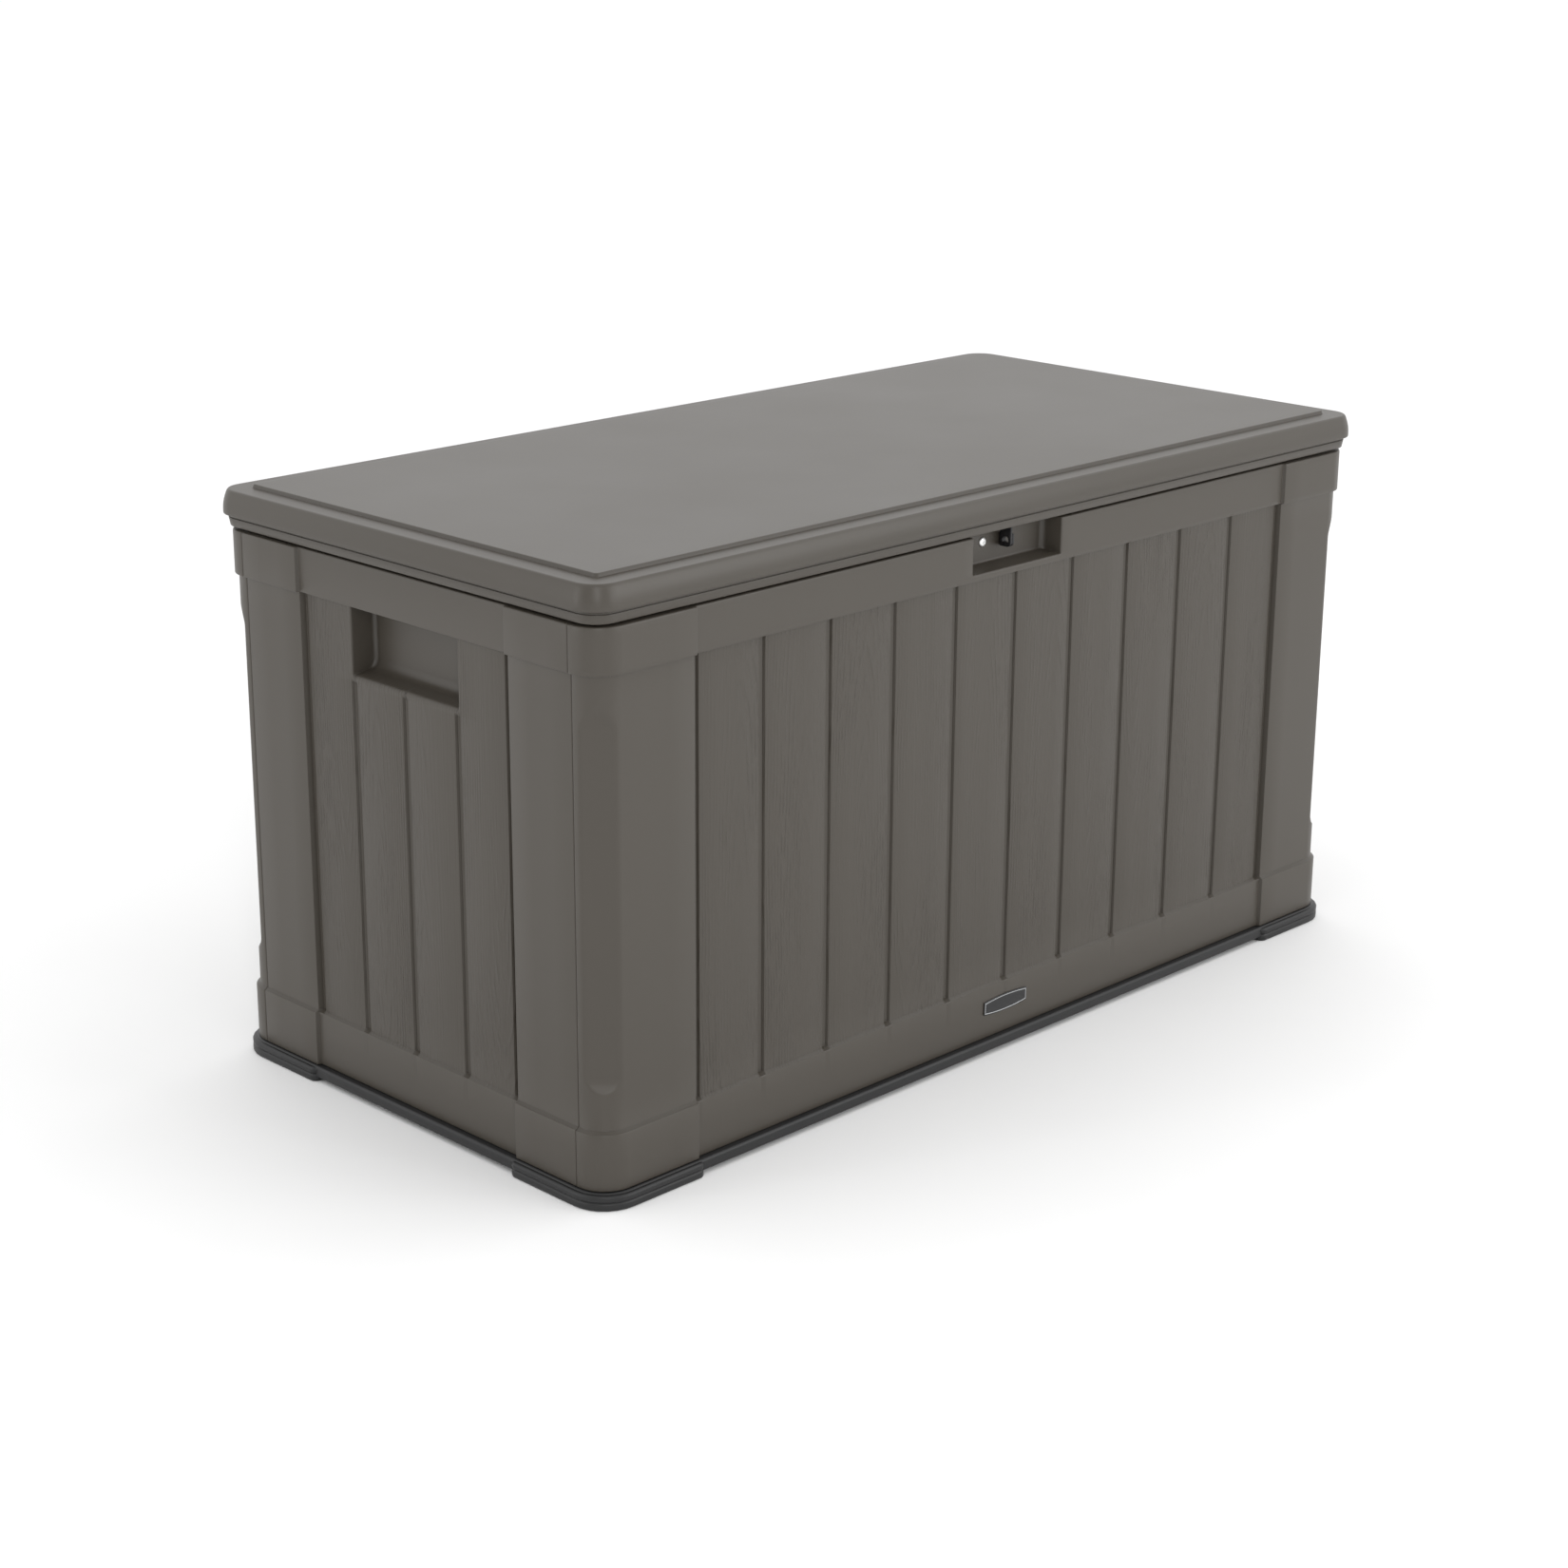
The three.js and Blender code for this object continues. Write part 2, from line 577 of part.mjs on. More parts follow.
// The rim is round at its upper edge and slopes in at its lower lip; the top carries a raised panel.
// Pockets under it take the hinge leaves, the strut brackets and the lid tab.
function lidBody() {
  const round = { size: LID_ROUND, rise: LID_ROUND, steps: 4 };
  const slope = { size: LID_PROUD - LID_LIP_PROUD, rise: LID_LIP_HEIGHT };
  const rim = block(LID_PROUD, LID_RADIUS, lidBottom - LID_RIM_HEIGHT, lidFlange, round)
    .intersect(block(LID_PROUD, LID_RADIUS, lidBottom, lidFlange + LID_RIM_HEIGHT, slope));
  const panelX = halfLength - LID_PANEL_INSET;
  const panelY = halfDepth - LID_PANEL_INSET;
  const panel = box(-panelX, panelX, -panelY, panelY, lidFlange - 1, lidTop);
  const upperX = panelX - SKIN;
  const upperY = panelY - SKIN;
  const floor = lidBottom + LID_FLOOR;
  const hollow = box(-upperX, upperX, -upperY, upperY, floor + LID_FLOOR, lidTop - LID_TOP_SKIN)
    .add(box(-halfLength, halfLength, -halfDepth, halfDepth, floor, lidFlange - LID_TOP_SKIN));
  let lid = rim.add(panel).subtract(hollow);
  for (const { x } of hinges) {
    const half = HINGE_LENGTH / 2 + GAP;
    lid = lid.subtract(box(x - half, x + half, hingeY - LID_LEAF_REACH - GAP, far, 0, pocketTop));
  }
  for (const { sign } of sides) {
    const half = LID_FOOT_HALF_LENGTH + GAP;
    const across = [lidFootInner - GAP, lidLeg.outer + GAP];
    lid = lid.subtract(sidedBox(sign, 1, ...across, lidPivot.y - half, lidPivot.y + half, 0, pocketTop));
  }
  const { x0, x1, y0, y1 } = tabFoot;
  lid = lid.subtract(box(x0 - GAP, x1 + GAP, y0 - GAP, y1 + GAP, 0, pocketTop));
  return drill(lid, /_lid_screw|lid_tab_screw/);
}

addPart('lid', lidBody(), taupe);

// ---- Hinges ----

// Each hinge has a leaf on the back panel, a leaf under the lid and a pin. Knuckles alternate.
for (const { place, x } of hinges) {
  const start = x - HINGE_LENGTH / 2;
  const knuckle = HINGE_LENGTH / HINGE_KNUCKLES;
  const end = start + HINGE_LENGTH;
  const bore = bar([start - 1, hingeY, hingeZ], [end + 1, hingeY, hingeZ], PIN_RADIUS + GAP);
  const linkBottom = hingeZ - KNUCKLE_RADIUS;
  const lidLeafEnd = hingeY - KNUCKLE_RADIUS - GAP;
  const lidLeafTop = lidLeafBottom + LEAF;
  let wallLeaf = box(start, end, leafFace, leafFace + LEAF, wallTop - WALL_LEAF_DROP, linkBottom + LEAF);
  let lidLeaf = box(start, end, hingeY - LID_LEAF_REACH, lidLeafEnd, lidLeafBottom, lidLeafTop);
  for (let i = 0; i < HINGE_KNUCKLES; i += 1) {
    const x0 = start + i * knuckle + (i > 0 ? GAP / 2 : 0);
    const x1 = start + (i + 1) * knuckle - (i < HINGE_KNUCKLES - 1 ? GAP / 2 : 0);
    const barrel = bar([x0, hingeY, hingeZ], [x1, hingeY, hingeZ], KNUCKLE_RADIUS);
    if (i % 2 === 0) {
      wallLeaf = wallLeaf.add(box(x0, x1, leafFace, hingeY, linkBottom, linkBottom + LEAF)).add(barrel);
    } else {
      lidLeaf = lidLeaf.add(box(x0, x1, lidLeafEnd - 1, hingeY, lidLeafBottom, lidLeafTop)).add(barrel);
    }
  }
  const wallScrews = new RegExp(`${place}_wall_screw`);
  const lidScrews = new RegExp(`${place}_lid_screw`);
  addPart(`hinge_${place}_wall_leaf`, drill(wallLeaf.subtract(bore), wallScrews), zinc);
  addPart(`hinge_${place}_lid_leaf`, drill(lidLeaf.subtract(bore), lidScrews), zinc);
  addPart(`hinge_${place}_pin`, bar([start, hingeY, hingeZ], [end, hingeY, hingeZ], PIN_RADIUS), zinc);
}

// ---- Gas struts ----

// The tube turns on a stud fixed to the end panel. The rod's eye meets a stud on the lid's bracket.
const strutRun = { y: lidPivot.y - wallPivot.y, z: lidPivot.z - wallPivot.z };
const strutClosed = Math.hypot(strutRun.y, strutRun.z);

for (const { side, sign } of sides) {
  const along = (s) => {
    const share = s / strutClosed;
    return [sign * eyeX, wallPivot.y + share * strutRun.y, wallPivot.z + share * strutRun.z];
  };
  const cross = (x0, x1, pivot, radius) => {
    return bar([sign * x0, pivot.y, pivot.z], [sign * x1, pivot.y, pivot.z], radius);
  };
  const eyeInner = eyeX - STRUT_EYE_WIDTH / 2;
  const tubeStart = STRUT_EYE_RADIUS + TUBE_NECK;
  const tubeEnd = tubeStart + TUBE_LENGTH;
  const tube = bar(along(0), along(tubeStart + 1), ROD_RADIUS)
    .add(bar(along(tubeStart), along(tubeEnd), TUBE_RADIUS, 16))
    .add(cross(eyeInner, eyeOuter, wallPivot, STRUT_EYE_RADIUS))
    .subtract(cross(eyeInner - 1, eyeOuter + 1, wallPivot, STUD_RADIUS + GAP))
    .subtract(bar(along(tubeStart + TUBE_END_WALL), along(tubeEnd - TUBE_END_WALL), TUBE_BORE, 16))
    .subtract(bar(along(tubeEnd - TUBE_END_WALL - 1), along(tubeEnd + 1), ROD_RADIUS + GAP));
  addPart(`strut_${side}_tube`, tube, black);

  const pistonStart = tubeStart + PISTON_INSET;
  const rod = bar(along(pistonStart), along(strutClosed), ROD_RADIUS)
    .add(bar(along(pistonStart), along(pistonStart + PISTON_LENGTH), TUBE_BORE - GAP, 16))
    .add(cross(eyeInner, eyeOuter, lidPivot, STRUT_EYE_RADIUS));
  addPart(`strut_${side}_rod`, rod, zinc);

  const plateY = [wallPivot.y - STRUT_PLATE_HALF_WIDTH, wallPivot.y + STRUT_PLATE_HALF_WIDTH];
  const plateZ = [wallPivot.z - STRUT_PLATE_HALF_HEIGHT, wallPivot.z + STRUT_PLATE_HALF_HEIGHT];
  const wallBracket = sidedBox(sign, 1, wallPlate.inner, wallPlate.outer, ...plateY, ...plateZ)
    .add(cross(eyeInner - GAP - STUD_HEAD, wallPlate.inner + 1, wallPivot, STUD_RADIUS))
    .add(cross(eyeInner - GAP - STUD_HEAD, eyeInner - GAP, wallPivot, STUD_RADIUS + STUD_HEAD));
  const wallScrews = new RegExp(`${side}_wall_screw_(lower|upper)`);
  addPart(`strut_${side}_wall_bracket`, drill(wallBracket, wallScrews), blackSteel);

  const footY = [lidPivot.y - LID_FOOT_HALF_LENGTH, lidPivot.y + LID_FOOT_HALF_LENGTH];
  const footZ = [lidLeafBottom, lidLeafBottom + LEAF];
  const legZ = [lidPivot.z - STRUT_EYE_RADIUS, lidLeafBottom + 1];
  const lidBracket = sidedBox(sign, 1, lidFootInner, lidLeg.outer, ...footY, ...footZ)
    .add(sidedBox(sign, 1, lidLeg.inner, lidLeg.outer, ...footY, ...legZ))
    .add(cross(eyeOuter + GAP, lidLeg.inner + 1, lidPivot, STUD_RADIUS + STUD_HEAD));
  addPart(`strut_${side}_lid_bracket`, drill(lidBracket, new RegExp(`strut_${side}_lid_screw`)), blackSteel);
}

// ---- Padlock fittings ----

// Outline of both lock plates, from a back edge to the rounded lower free corner.
function lockOutline(back, top) {
  const round = LOCK_ROUND;
  const shape = new THREE.Shape();
  shape.moveTo(back, lockLow);
  shape.lineTo(back, top);
  shape.lineTo(lockFront, top);
  shape.lineTo(lockFront, lockLow + round);
  shape.absarc(lockFront + round, lockLow + round, round, Math.PI, 1.5 * Math.PI);
  shape.closePath();
  return shape;
}

const shackleHole = bar([-10, lockHole.y, lockHole.z], [10, lockHole.y, lockHole.z], LOCK_HOLE, 12);

// The lock plate lies against the inside of the front panel; its lug comes out through a slot.
const lockPlate = sidePlate(lockOutline(lockBack.y + LEAF, lug.top), lug.x0, lug.x1)
  .subtract(shackleHole)
  .add(box(lockBack.x0, lug.x1, lockBack.y, lockBack.y + LEAF, lockLow, lug.top));
addPart('lock_plate', drill(lockPlate, /lock_plate_screw/), blackSteel);

// The lid tab hangs beside the lug when the lid is down, with its hole in line with the lug's.
const lidTab = sidePlate(lockOutline(tabFoot.y1, lidLeafBottom + LEAF), tabFoot.x1 - LOCK_PLATE, tabFoot.x1)
  .subtract(shackleHole)
  .add(box(tabFoot.x0, tabFoot.x1, tabFoot.y0, tabFoot.y1, lidLeafBottom, lidLeafBottom + LEAF));
addPart('lid_tab', drill(lidTab, /lid_tab_screw/), blackSteel);

// ---- Badge ----

// A blank plate with arched upper and lower edges on the lower band.
const badgeHalf = {
  width: BADGE_WIDTH / 2,
  side: BADGE_HEIGHT / 2 - BADGE_ARCH,
  arch: BADGE_HEIGHT / 2 + BADGE_ARCH,
};
const badgeShape = new THREE.Shape();
badgeShape.moveTo(-badgeHalf.width, -badgeHalf.side);
badgeShape.quadraticCurveTo(0, -badgeHalf.arch, badgeHalf.width, -badgeHalf.side);
badgeShape.lineTo(badgeHalf.width, badgeHalf.side);
badgeShape.quadraticCurveTo(0, badgeHalf.arch, -badgeHalf.width, badgeHalf.side);
badgeShape.closePath();
const badgePlate = { depth: BADGE_THICK, bevelEnabled: false, curveSegments: 8 };
const badge = new THREE.ExtrudeGeometry(badgeShape, badgePlate);
badge.rotateX(Math.PI / 2);
badge.translate(0, -latchFace - GAP, wallBottom + BADGE_RISE);
addPart('badge_plate', solid(badge), badgeFinish);

export default assembly;
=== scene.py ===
# Deck storage box: four blow-moulded resin walls with embossed planks on a black base, under a hinged lid
# that two gas struts hold open. Lengths in the sections are millimetres; make() turns them into metres.
import json
import math

import bmesh
import bpy
import numpy as np
from mathutils import Matrix, Vector

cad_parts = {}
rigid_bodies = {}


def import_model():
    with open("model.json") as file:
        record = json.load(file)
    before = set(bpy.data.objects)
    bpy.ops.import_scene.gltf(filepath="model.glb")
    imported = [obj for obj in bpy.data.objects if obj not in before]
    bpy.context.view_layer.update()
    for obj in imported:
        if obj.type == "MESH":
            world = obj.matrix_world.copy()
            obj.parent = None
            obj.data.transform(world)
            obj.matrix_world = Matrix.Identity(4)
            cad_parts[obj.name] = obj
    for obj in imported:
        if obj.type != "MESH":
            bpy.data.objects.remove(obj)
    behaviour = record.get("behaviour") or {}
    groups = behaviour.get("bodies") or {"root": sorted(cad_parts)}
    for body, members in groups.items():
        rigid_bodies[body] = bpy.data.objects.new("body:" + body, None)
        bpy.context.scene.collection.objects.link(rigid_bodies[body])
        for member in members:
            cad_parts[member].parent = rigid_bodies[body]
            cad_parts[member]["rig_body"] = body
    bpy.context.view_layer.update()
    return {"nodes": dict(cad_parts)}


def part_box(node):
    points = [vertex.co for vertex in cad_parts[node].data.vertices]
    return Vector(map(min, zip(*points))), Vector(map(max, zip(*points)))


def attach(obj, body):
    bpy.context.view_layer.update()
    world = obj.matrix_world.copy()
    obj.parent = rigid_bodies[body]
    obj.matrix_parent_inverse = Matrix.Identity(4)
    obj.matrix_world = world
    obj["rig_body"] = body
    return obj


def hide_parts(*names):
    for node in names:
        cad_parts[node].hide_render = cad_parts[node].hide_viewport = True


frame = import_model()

# ---- Studio ----
# A pale seamless floor in a white room, with a soft lamp in front, one high on the right, and three tall
# strips that show in round corners. The camera stands in front of the left corner, a little above the lid.
CAMERA_PLACE = Vector((-2.4824, -2.3998, 1.3747))
CAMERA_AZIMUTH = math.radians(-45.281)
CAMERA_ELEVATION = math.radians(18.022)
CAMERA_ROLL = math.radians(0.331)
CAMERA_LENS = 68.40
SENSOR_WIDTH = 36


def aim(azimuth, elevation, roll):
    """The rotation of a camera that looks along +Y at azimuth 0, tipped down by elevation."""
    forward = Vector((
        -math.sin(azimuth) * math.cos(elevation),
        math.cos(azimuth) * math.cos(elevation),
        -math.sin(elevation),
    ))
    level = forward.cross(Vector((0, 0, 1))).normalized()
    upright = level.cross(forward)
    right = math.cos(roll) * level + math.sin(roll) * upright
    up = math.cos(roll) * upright - math.sin(roll) * level
    return Matrix((right, up, -forward)).transposed().to_4x4()


camera_data = bpy.data.cameras.new("camera")
camera_data.lens = CAMERA_LENS
camera_data.sensor_width = SENSOR_WIDTH
camera = bpy.data.objects.new("camera", camera_data)
camera.matrix_world = Matrix.Translation(CAMERA_PLACE) @ aim(CAMERA_AZIMUTH, CAMERA_ELEVATION, CAMERA_ROLL)
bpy.context.scene.collection.objects.link(camera)
bpy.context.scene.camera = camera
bpy.context.scene.view_settings.view_transform = "Standard"


def lamp(name, place, target, width, height, power):
    """A soft rectangular lamp that faces a point."""
    data = bpy.data.lights.new(name, "AREA")
    data.shape = "RECTANGLE"
    data.size = width
    data.size_y = height
    data.energy = power
    turned_to = (Vector(target) - Vector(place)).to_track_quat("-Z", "Y")
    light = bpy.data.objects.new(name, data)
    light.matrix_world = Matrix.Translation(Vector(place)) @ turned_to.to_matrix().to_4x4()
    bpy.context.scene.collection.objects.link(light)


lamp("front_lamp", (1.8, -3.4, 1.7), (0.1, -0.3, 0.55), 1.6, 1.2, 21)
lamp("front_strip", (0.35, -3.4, 1.3), (-0.6, -0.3, 0.5), 0.3, 1.6, 8)
lamp("left_strip", (-3.2, 0.86, 0.95), (-0.63, -0.3, 0.5), 0.3, 1.4, 7)
lamp("corner_strip", (-2.7, -2.95, 2.0), (-0.63, -0.3, 0.5), 0.3, 2.2, 25)
lamp("high_lamp", (2.4, -1.3, 3.0), (0, 0, 0.6), 1.6, 1.2, 8)

# The room is a little darker in front of the corner than to the sides and above.
ROOM_DARK_SIDE = (-0.70, -0.70, 0.12)
ROOM_STRENGTH = 1.2
ROOM_TONES = ((0.35, 1.0), (0.95, 0.55))
room = bpy.data.worlds.new("room")
room.use_nodes = True
room_nodes = room.node_tree.nodes
room_way = room_nodes.new("ShaderNodeTexCoord")
room_dot = room_nodes.new("ShaderNodeVectorMath")
room_dot.operation = "DOT_PRODUCT"
room_dot.inputs[1].default_value = ROOM_DARK_SIDE
room_tone = room_nodes.new("ShaderNodeValToRGB")
room_tone.color_ramp.interpolation = "EASE"
for stop, (place, grey) in zip(room_tone.color_ramp.elements, ROOM_TONES):
    stop.position = place
    stop.color = (grey, grey, grey, 1)
room.node_tree.links.new(room_way.outputs["Generated"], room_dot.inputs[0])
room.node_tree.links.new(room_dot.outputs["Value"], room_tone.inputs["Fac"])
room.node_tree.links.new(room_tone.outputs["Color"], room_nodes["Background"].inputs["Color"])
room_nodes["Background"].inputs["Strength"].default_value = ROOM_STRENGTH
bpy.context.scene.world = room


class Wire:
    """A shader socket that can be used in a Python expression; each operator adds a Math node."""

    def __init__(self, finish, socket):
        self.finish = finish
        self.socket = socket

    def math(self, operation, *others):
        values = {0: self}
        values.update({place + 1: other for place, other in enumerate(others)})
        return self.finish.node("ShaderNodeMath", {"operation": operation}, values)

    def __add__(self, other):
        return self.math("ADD", other)

    __radd__ = __add__

    def __mul__(self, other):
        return self.math("MULTIPLY", other)

    __rmul__ = __mul__

    def __sub__(self, other):
        return self.math("SUBTRACT", other)

    def __rsub__(self, other):
        return self.finish.node("ShaderNodeMath", {"operation": "SUBTRACT"}, {0: other, 1: self})

    def __truediv__(self, other):
        return self.math("DIVIDE", other)

    def __pow__(self, other):
        return self.math("POWER", other)


class Finish:
    """A material being written: node() adds any node, and shade() sets the surface's sockets."""

    def __init__(self, name):
        self.material = bpy.data.materials.new(name)
        self.material.use_nodes = True
        self.tree = self.material.node_tree
        self.shader = self.tree.nodes["Principled BSDF"]

    def node(self, kind, settings=None, sockets=None, out=0):
        made = self.tree.nodes.new(kind)
        for key, value in (settings or {}).items():
            if key == "stops":
                for stop, (place, colour) in zip(made.color_ramp.elements, value):
                    stop.position = place
                    stop.color = colour
            else:
                setattr(made, key, value)
        for key, value in (sockets or {}).items():
            self.put(made.inputs[key], value)
        return Wire(self, made.outputs[out])

    def put(self, socket, value):
        if isinstance(value, Wire):
            self.tree.links.new(value.socket, socket)
        else:
            socket.default_value = value

    def noise(self, place, scale, detail=3.0, roughness=0.5):
        sockets = {"Vector": place, "Scale": scale, "Detail": detail, "Roughness": roughness}
        return self.node("ShaderNodeTexNoise", None, sockets)

    def vector(self, x, y, z):
        return self.node("ShaderNodeCombineXYZ", None, {0: x, 1: y, 2: z})

    def parts(self, vector):
        """The three numbers of a vector."""
        return [self.node("ShaderNodeSeparateXYZ", None, {0: vector}, out=i) for i in range(3)]

    def place(self):
        """Each point's own coordinates, in metres."""
        return self.node("ShaderNodeTexCoord", None, None, out=3)

    def blend(self, share, first, second):
        """A colour between two, by share."""
        settings = {"data_type": "RGBA", "clamp_factor": True}
        return self.node("ShaderNodeMix", settings, {0: share, 6: first, 7: second}, out=2)

    def bump(self, height, depth, under=None):
        """A normal from a height of 0 to 1 that stands for a relief of depth metres."""
        sockets = {"Strength": 1.0, "Distance": depth, "Height": height}
        if under is not None:
            sockets["Normal"] = under
        return self.node("ShaderNodeBump", None, sockets)

    def shade(self, **sockets):
        for name, value in sockets.items():
            self.put(self.shader.inputs[name.replace("_", " ")], value)
        return self.material


floor_finish = Finish("floor_paper")
PAPER_DARK = (0.90, 0.90, 0.90, 1)
PAPER_LIGHT = (0.93, 0.93, 0.93, 1)
FLOOR_HALF = 30.0
paper = floor_finish.noise(floor_finish.place(), 3.0)
floor_finish.shade(Base_Color=floor_finish.blend(paper, PAPER_DARK, PAPER_LIGHT), Roughness=0.9)
floor_mesh = bpy.data.meshes.new("floor")
floor_mesh.from_pydata(
    [(x * FLOOR_HALF, y * FLOOR_HALF, 0.0) for x, y in ((-1, -1), (1, -1), (1, 1), (-1, 1))],
    [], [(0, 1, 2, 3)],
)
floor_mesh.materials.append(floor_finish.material)
floor = bpy.data.objects.new("floor", floor_mesh)
bpy.context.scene.collection.objects.link(floor)


# ---- Front and back panels ----
# Each is one hollow blow-moulded piece of taupe resin, full length, with the rounded corner posts at its
# ends. The planks are pressed into the face between the posts and the two bands.
def cad(node):
    """A CAD node's lowest and highest corners in millimetres."""
    return [np.array(corner) * 1000 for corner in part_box(node)]


panel_low, panel_high = cad("front_panel")
POST_PROUD = 3.8
BAND_PROUD = 8.3
POST_WIDTH = 129.5
UPPER_BAND = 50.2
LOWER_BAND = 64.2
CORNER_RADIUS = 29
GROOVE_WIDTH = 8.4
POST_GROOVE_WIDTH = 8.4
GROOVE_DEPTH = 3.6
GROOVE_INSIDE = 1.6
END_WALL = 38
half_length = panel_high[0] - BAND_PROUD
half_depth = -panel_low[1] - BAND_PROUD
wall_bottom = panel_low[2]
wall_top = panel_high[2]
plank_bottom = wall_bottom + LOWER_BAND
plank_top = wall_top - UPPER_BAND
inner_y = -panel_high[1]
inner_x = half_length - END_WALL

# Rounded lip, drafted face and rounded foot of each kind of moulded edge.
GROOVE_EDGE = (1.4, 0.5, 1.6)
GROOVE_END_EDGE = (1.0, 1.8, 2.4)
POST_EDGE = (1.4, 1.0, 0.9)
UPPER_BAND_EDGE = (1.0, 0.6, 0.6)
LOWER_BAND_EDGE = (1.3, 2.2, 0.6)
LATCH_SIDE_EDGE = (2.2, 1.2, 7)
LATCH_SILL_EDGE = (2.6, 1.6, 3)
SEAM_ROUND = 1.3
TOP_ROUND = 2.2
BOTTOM_ROUND = 1.2


def pressed(past, depth, edge):
    """The share of depth that is reached past an edge: over the lip, down the face and round the foot."""
    lip, draft, foot = edge
    past = np.asarray(past, float)
    over_lip = np.clip(past / lip + 1, 0, 1)
    into_foot = np.clip((draft + foot - past) / foot, 0, 1)
    on_lip = lip * (1 - np.sqrt(1 - over_lip ** 2))
    on_face = lip + (depth - lip - foot) * np.clip(past / draft, 0, 1)
    on_foot = depth - foot * (1 - np.sqrt(1 - into_foot ** 2))
    return np.where(past < 0, on_lip, np.where(past < draft, on_face, on_foot)) / depth


def stops(edge, steps=2):
    """Distances past an edge at which a grid needs a line to follow it."""
    lip, draft, foot = edge
    turns = [math.pi / 2 * i / steps for i in range(steps + 1)]
    on_lip = [-lip * (1 - math.sin(turn)) for turn in turns]
    on_foot = [draft + foot * (1 - math.cos(turn)) for turn in turns]
    return np.array(on_lip + on_foot)


def grid_lines(limit_low, limit_high, *groups, widest=40):
    """Sorted grid lines within the limits, without near doubles and with no gap over widest."""
    lines = np.concatenate([np.atleast_1d(group) for group in groups] + [[limit_low, limit_high]])
    lines = np.unique(np.round(lines[(lines >= limit_low) & (lines <= limit_high)], 3))
    kept = [lines[0]]
    for line in lines[1:]:
        if line - kept[-1] < 0.12:
            continue
        extra = int((line - kept[-1]) // widest)
        kept += [kept[-1] + (line - kept[-1]) * (i + 1) / (extra + 1) for i in range(extra)]
        kept.append(line)
    kept[-1] = limit_high
    return np.array(kept)


def band_share(z):
    """1 on the two bands, 0 on the planks and posts between them."""
    upper = 1 - pressed(plank_top - z, POST_PROUD, UPPER_BAND_EDGE)
    lower = 1 - pressed(z - plank_bottom, POST_PROUD, LOWER_BAND_EDGE)
    return np.maximum(upper, lower)


def panel_rows(*groups):
    """Heights of a panel's grid rows, and how far its rounded top and bottom edges draw each row in."""
    heights = grid_lines(
        wall_bottom + BOTTOM_ROUND, wall_top - TOP_ROUND,
        plank_top - stops(UPPER_BAND_EDGE), plank_bottom + stops(LOWER_BAND_EDGE), *groups, widest=60,
    )
    turns = np.radians([0, 30, 60])
    low = wall_bottom + BOTTOM_ROUND * (1 - np.cos(turns))
    high = wall_top - TOP_ROUND * (1 - np.cos(turns[::-1]))
    drawn_in = np.concatenate([
        BOTTOM_ROUND * (1 - np.sin(turns)), np.zeros(len(heights)), TOP_ROUND * (1 - np.sin(turns[::-1])),
    ])
    return np.concatenate([low, heights, high]), drawn_in


def plank_relief(run, z, post_edge, planks, groove_top):
    """How proud of its planks a wall's face is, and each point's shares of grained plank and of groove."""
    post = 1 - pressed(post_edge - np.abs(run), POST_PROUD + GROOVE_DEPTH, POST_EDGE)
    band = band_share(z)
    groove = pressed(np.abs(run) - (post_edge - POST_GROOVE_WIDTH), GROOVE_DEPTH, GROOVE_EDGE) + 0 * z
    pitch = 2 * post_edge / planks
    for i in range(1, planks):
        middle = -post_edge + i * pitch
        across = pressed(GROOVE_WIDTH / 2 - np.abs(run - middle), GROOVE_DEPTH, GROOVE_EDGE)
        end = groove_top(middle)
        up_to_end = pressed(end - z, GROOVE_DEPTH, GROOVE_END_EDGE) if end else 1
        groove = np.maximum(groove, across * up_to_end)
    proud = POST_PROUD * (post + band - post * band) + (BAND_PROUD - POST_PROUD) * post * band
    plain = (1 - post) * (1 - band)
    return proud - GROOVE_DEPTH * groove * plain, plain * (1 - groove), groove * plain


def groove_lines(post_edge, planks):
    """Grid lines across a wall's grooves and post edges."""
    pitch = 2 * post_edge / planks
    groups = []
    for side in (-1, 1):
        groups.append(side * (post_edge - stops(POST_EDGE)))
        groups.append(side * (post_edge - POST_GROOVE_WIDTH + stops(GROOVE_EDGE)))
        for i in range(1, planks):
            groups.append(-post_edge + i * pitch + side * (GROOVE_WIDTH / 2 - stops(GROOVE_EDGE)))
    return np.concatenate(groups)


def plank_map(run, z, post_edge, planks, wall):
    """Where each point lies on its plank: across and up in metres, and a number for the plank."""
    pitch = 2 * post_edge / planks
    number = np.clip(np.floor((run + post_edge) / pitch), 0, planks - 1)
    across = run + post_edge - (number + 0.5) * pitch
    return np.stack(np.broadcast_arrays(across / 1000, z / 1000, number + wall * 17.0), axis=-1)


# Long hollow down each corner post: a flat across the round corner, run out in a curve at both ends.
SCOOP_DEPTH = 5.9
SCOOP_BOTTOM = plank_bottom + 43.6
SCOOP_TOP = plank_top - 30
SCOOP_BOTTOM_RUN = 17
SCOOP_TOP_RUN = 30


def scooped(radius, angle, z):
    """The corner's radius after the flat is cut across it."""
    up = np.clip((z - SCOOP_BOTTOM) / SCOOP_BOTTOM_RUN, 0, 1)
    down = np.clip((SCOOP_TOP - z) / SCOOP_TOP_RUN, 0, 1)
    depth = SCOOP_DEPTH * (1 - (1 - up) ** 2) * (down * down * (3 - 2 * down))
    flat = (CORNER_RADIUS + POST_PROUD - depth) / np.cos(np.clip(angle, -0.78, 0.78))
    soft = 1.2 * np.clip(depth / 2, 1e-3, 1)
    share = np.clip(0.5 + 0.5 * (flat - radius) / soft, 0, 1)
    blended = flat + (radius - flat) * share - soft * share * (1 - share)
    return np.where(depth > 0, blended, radius)


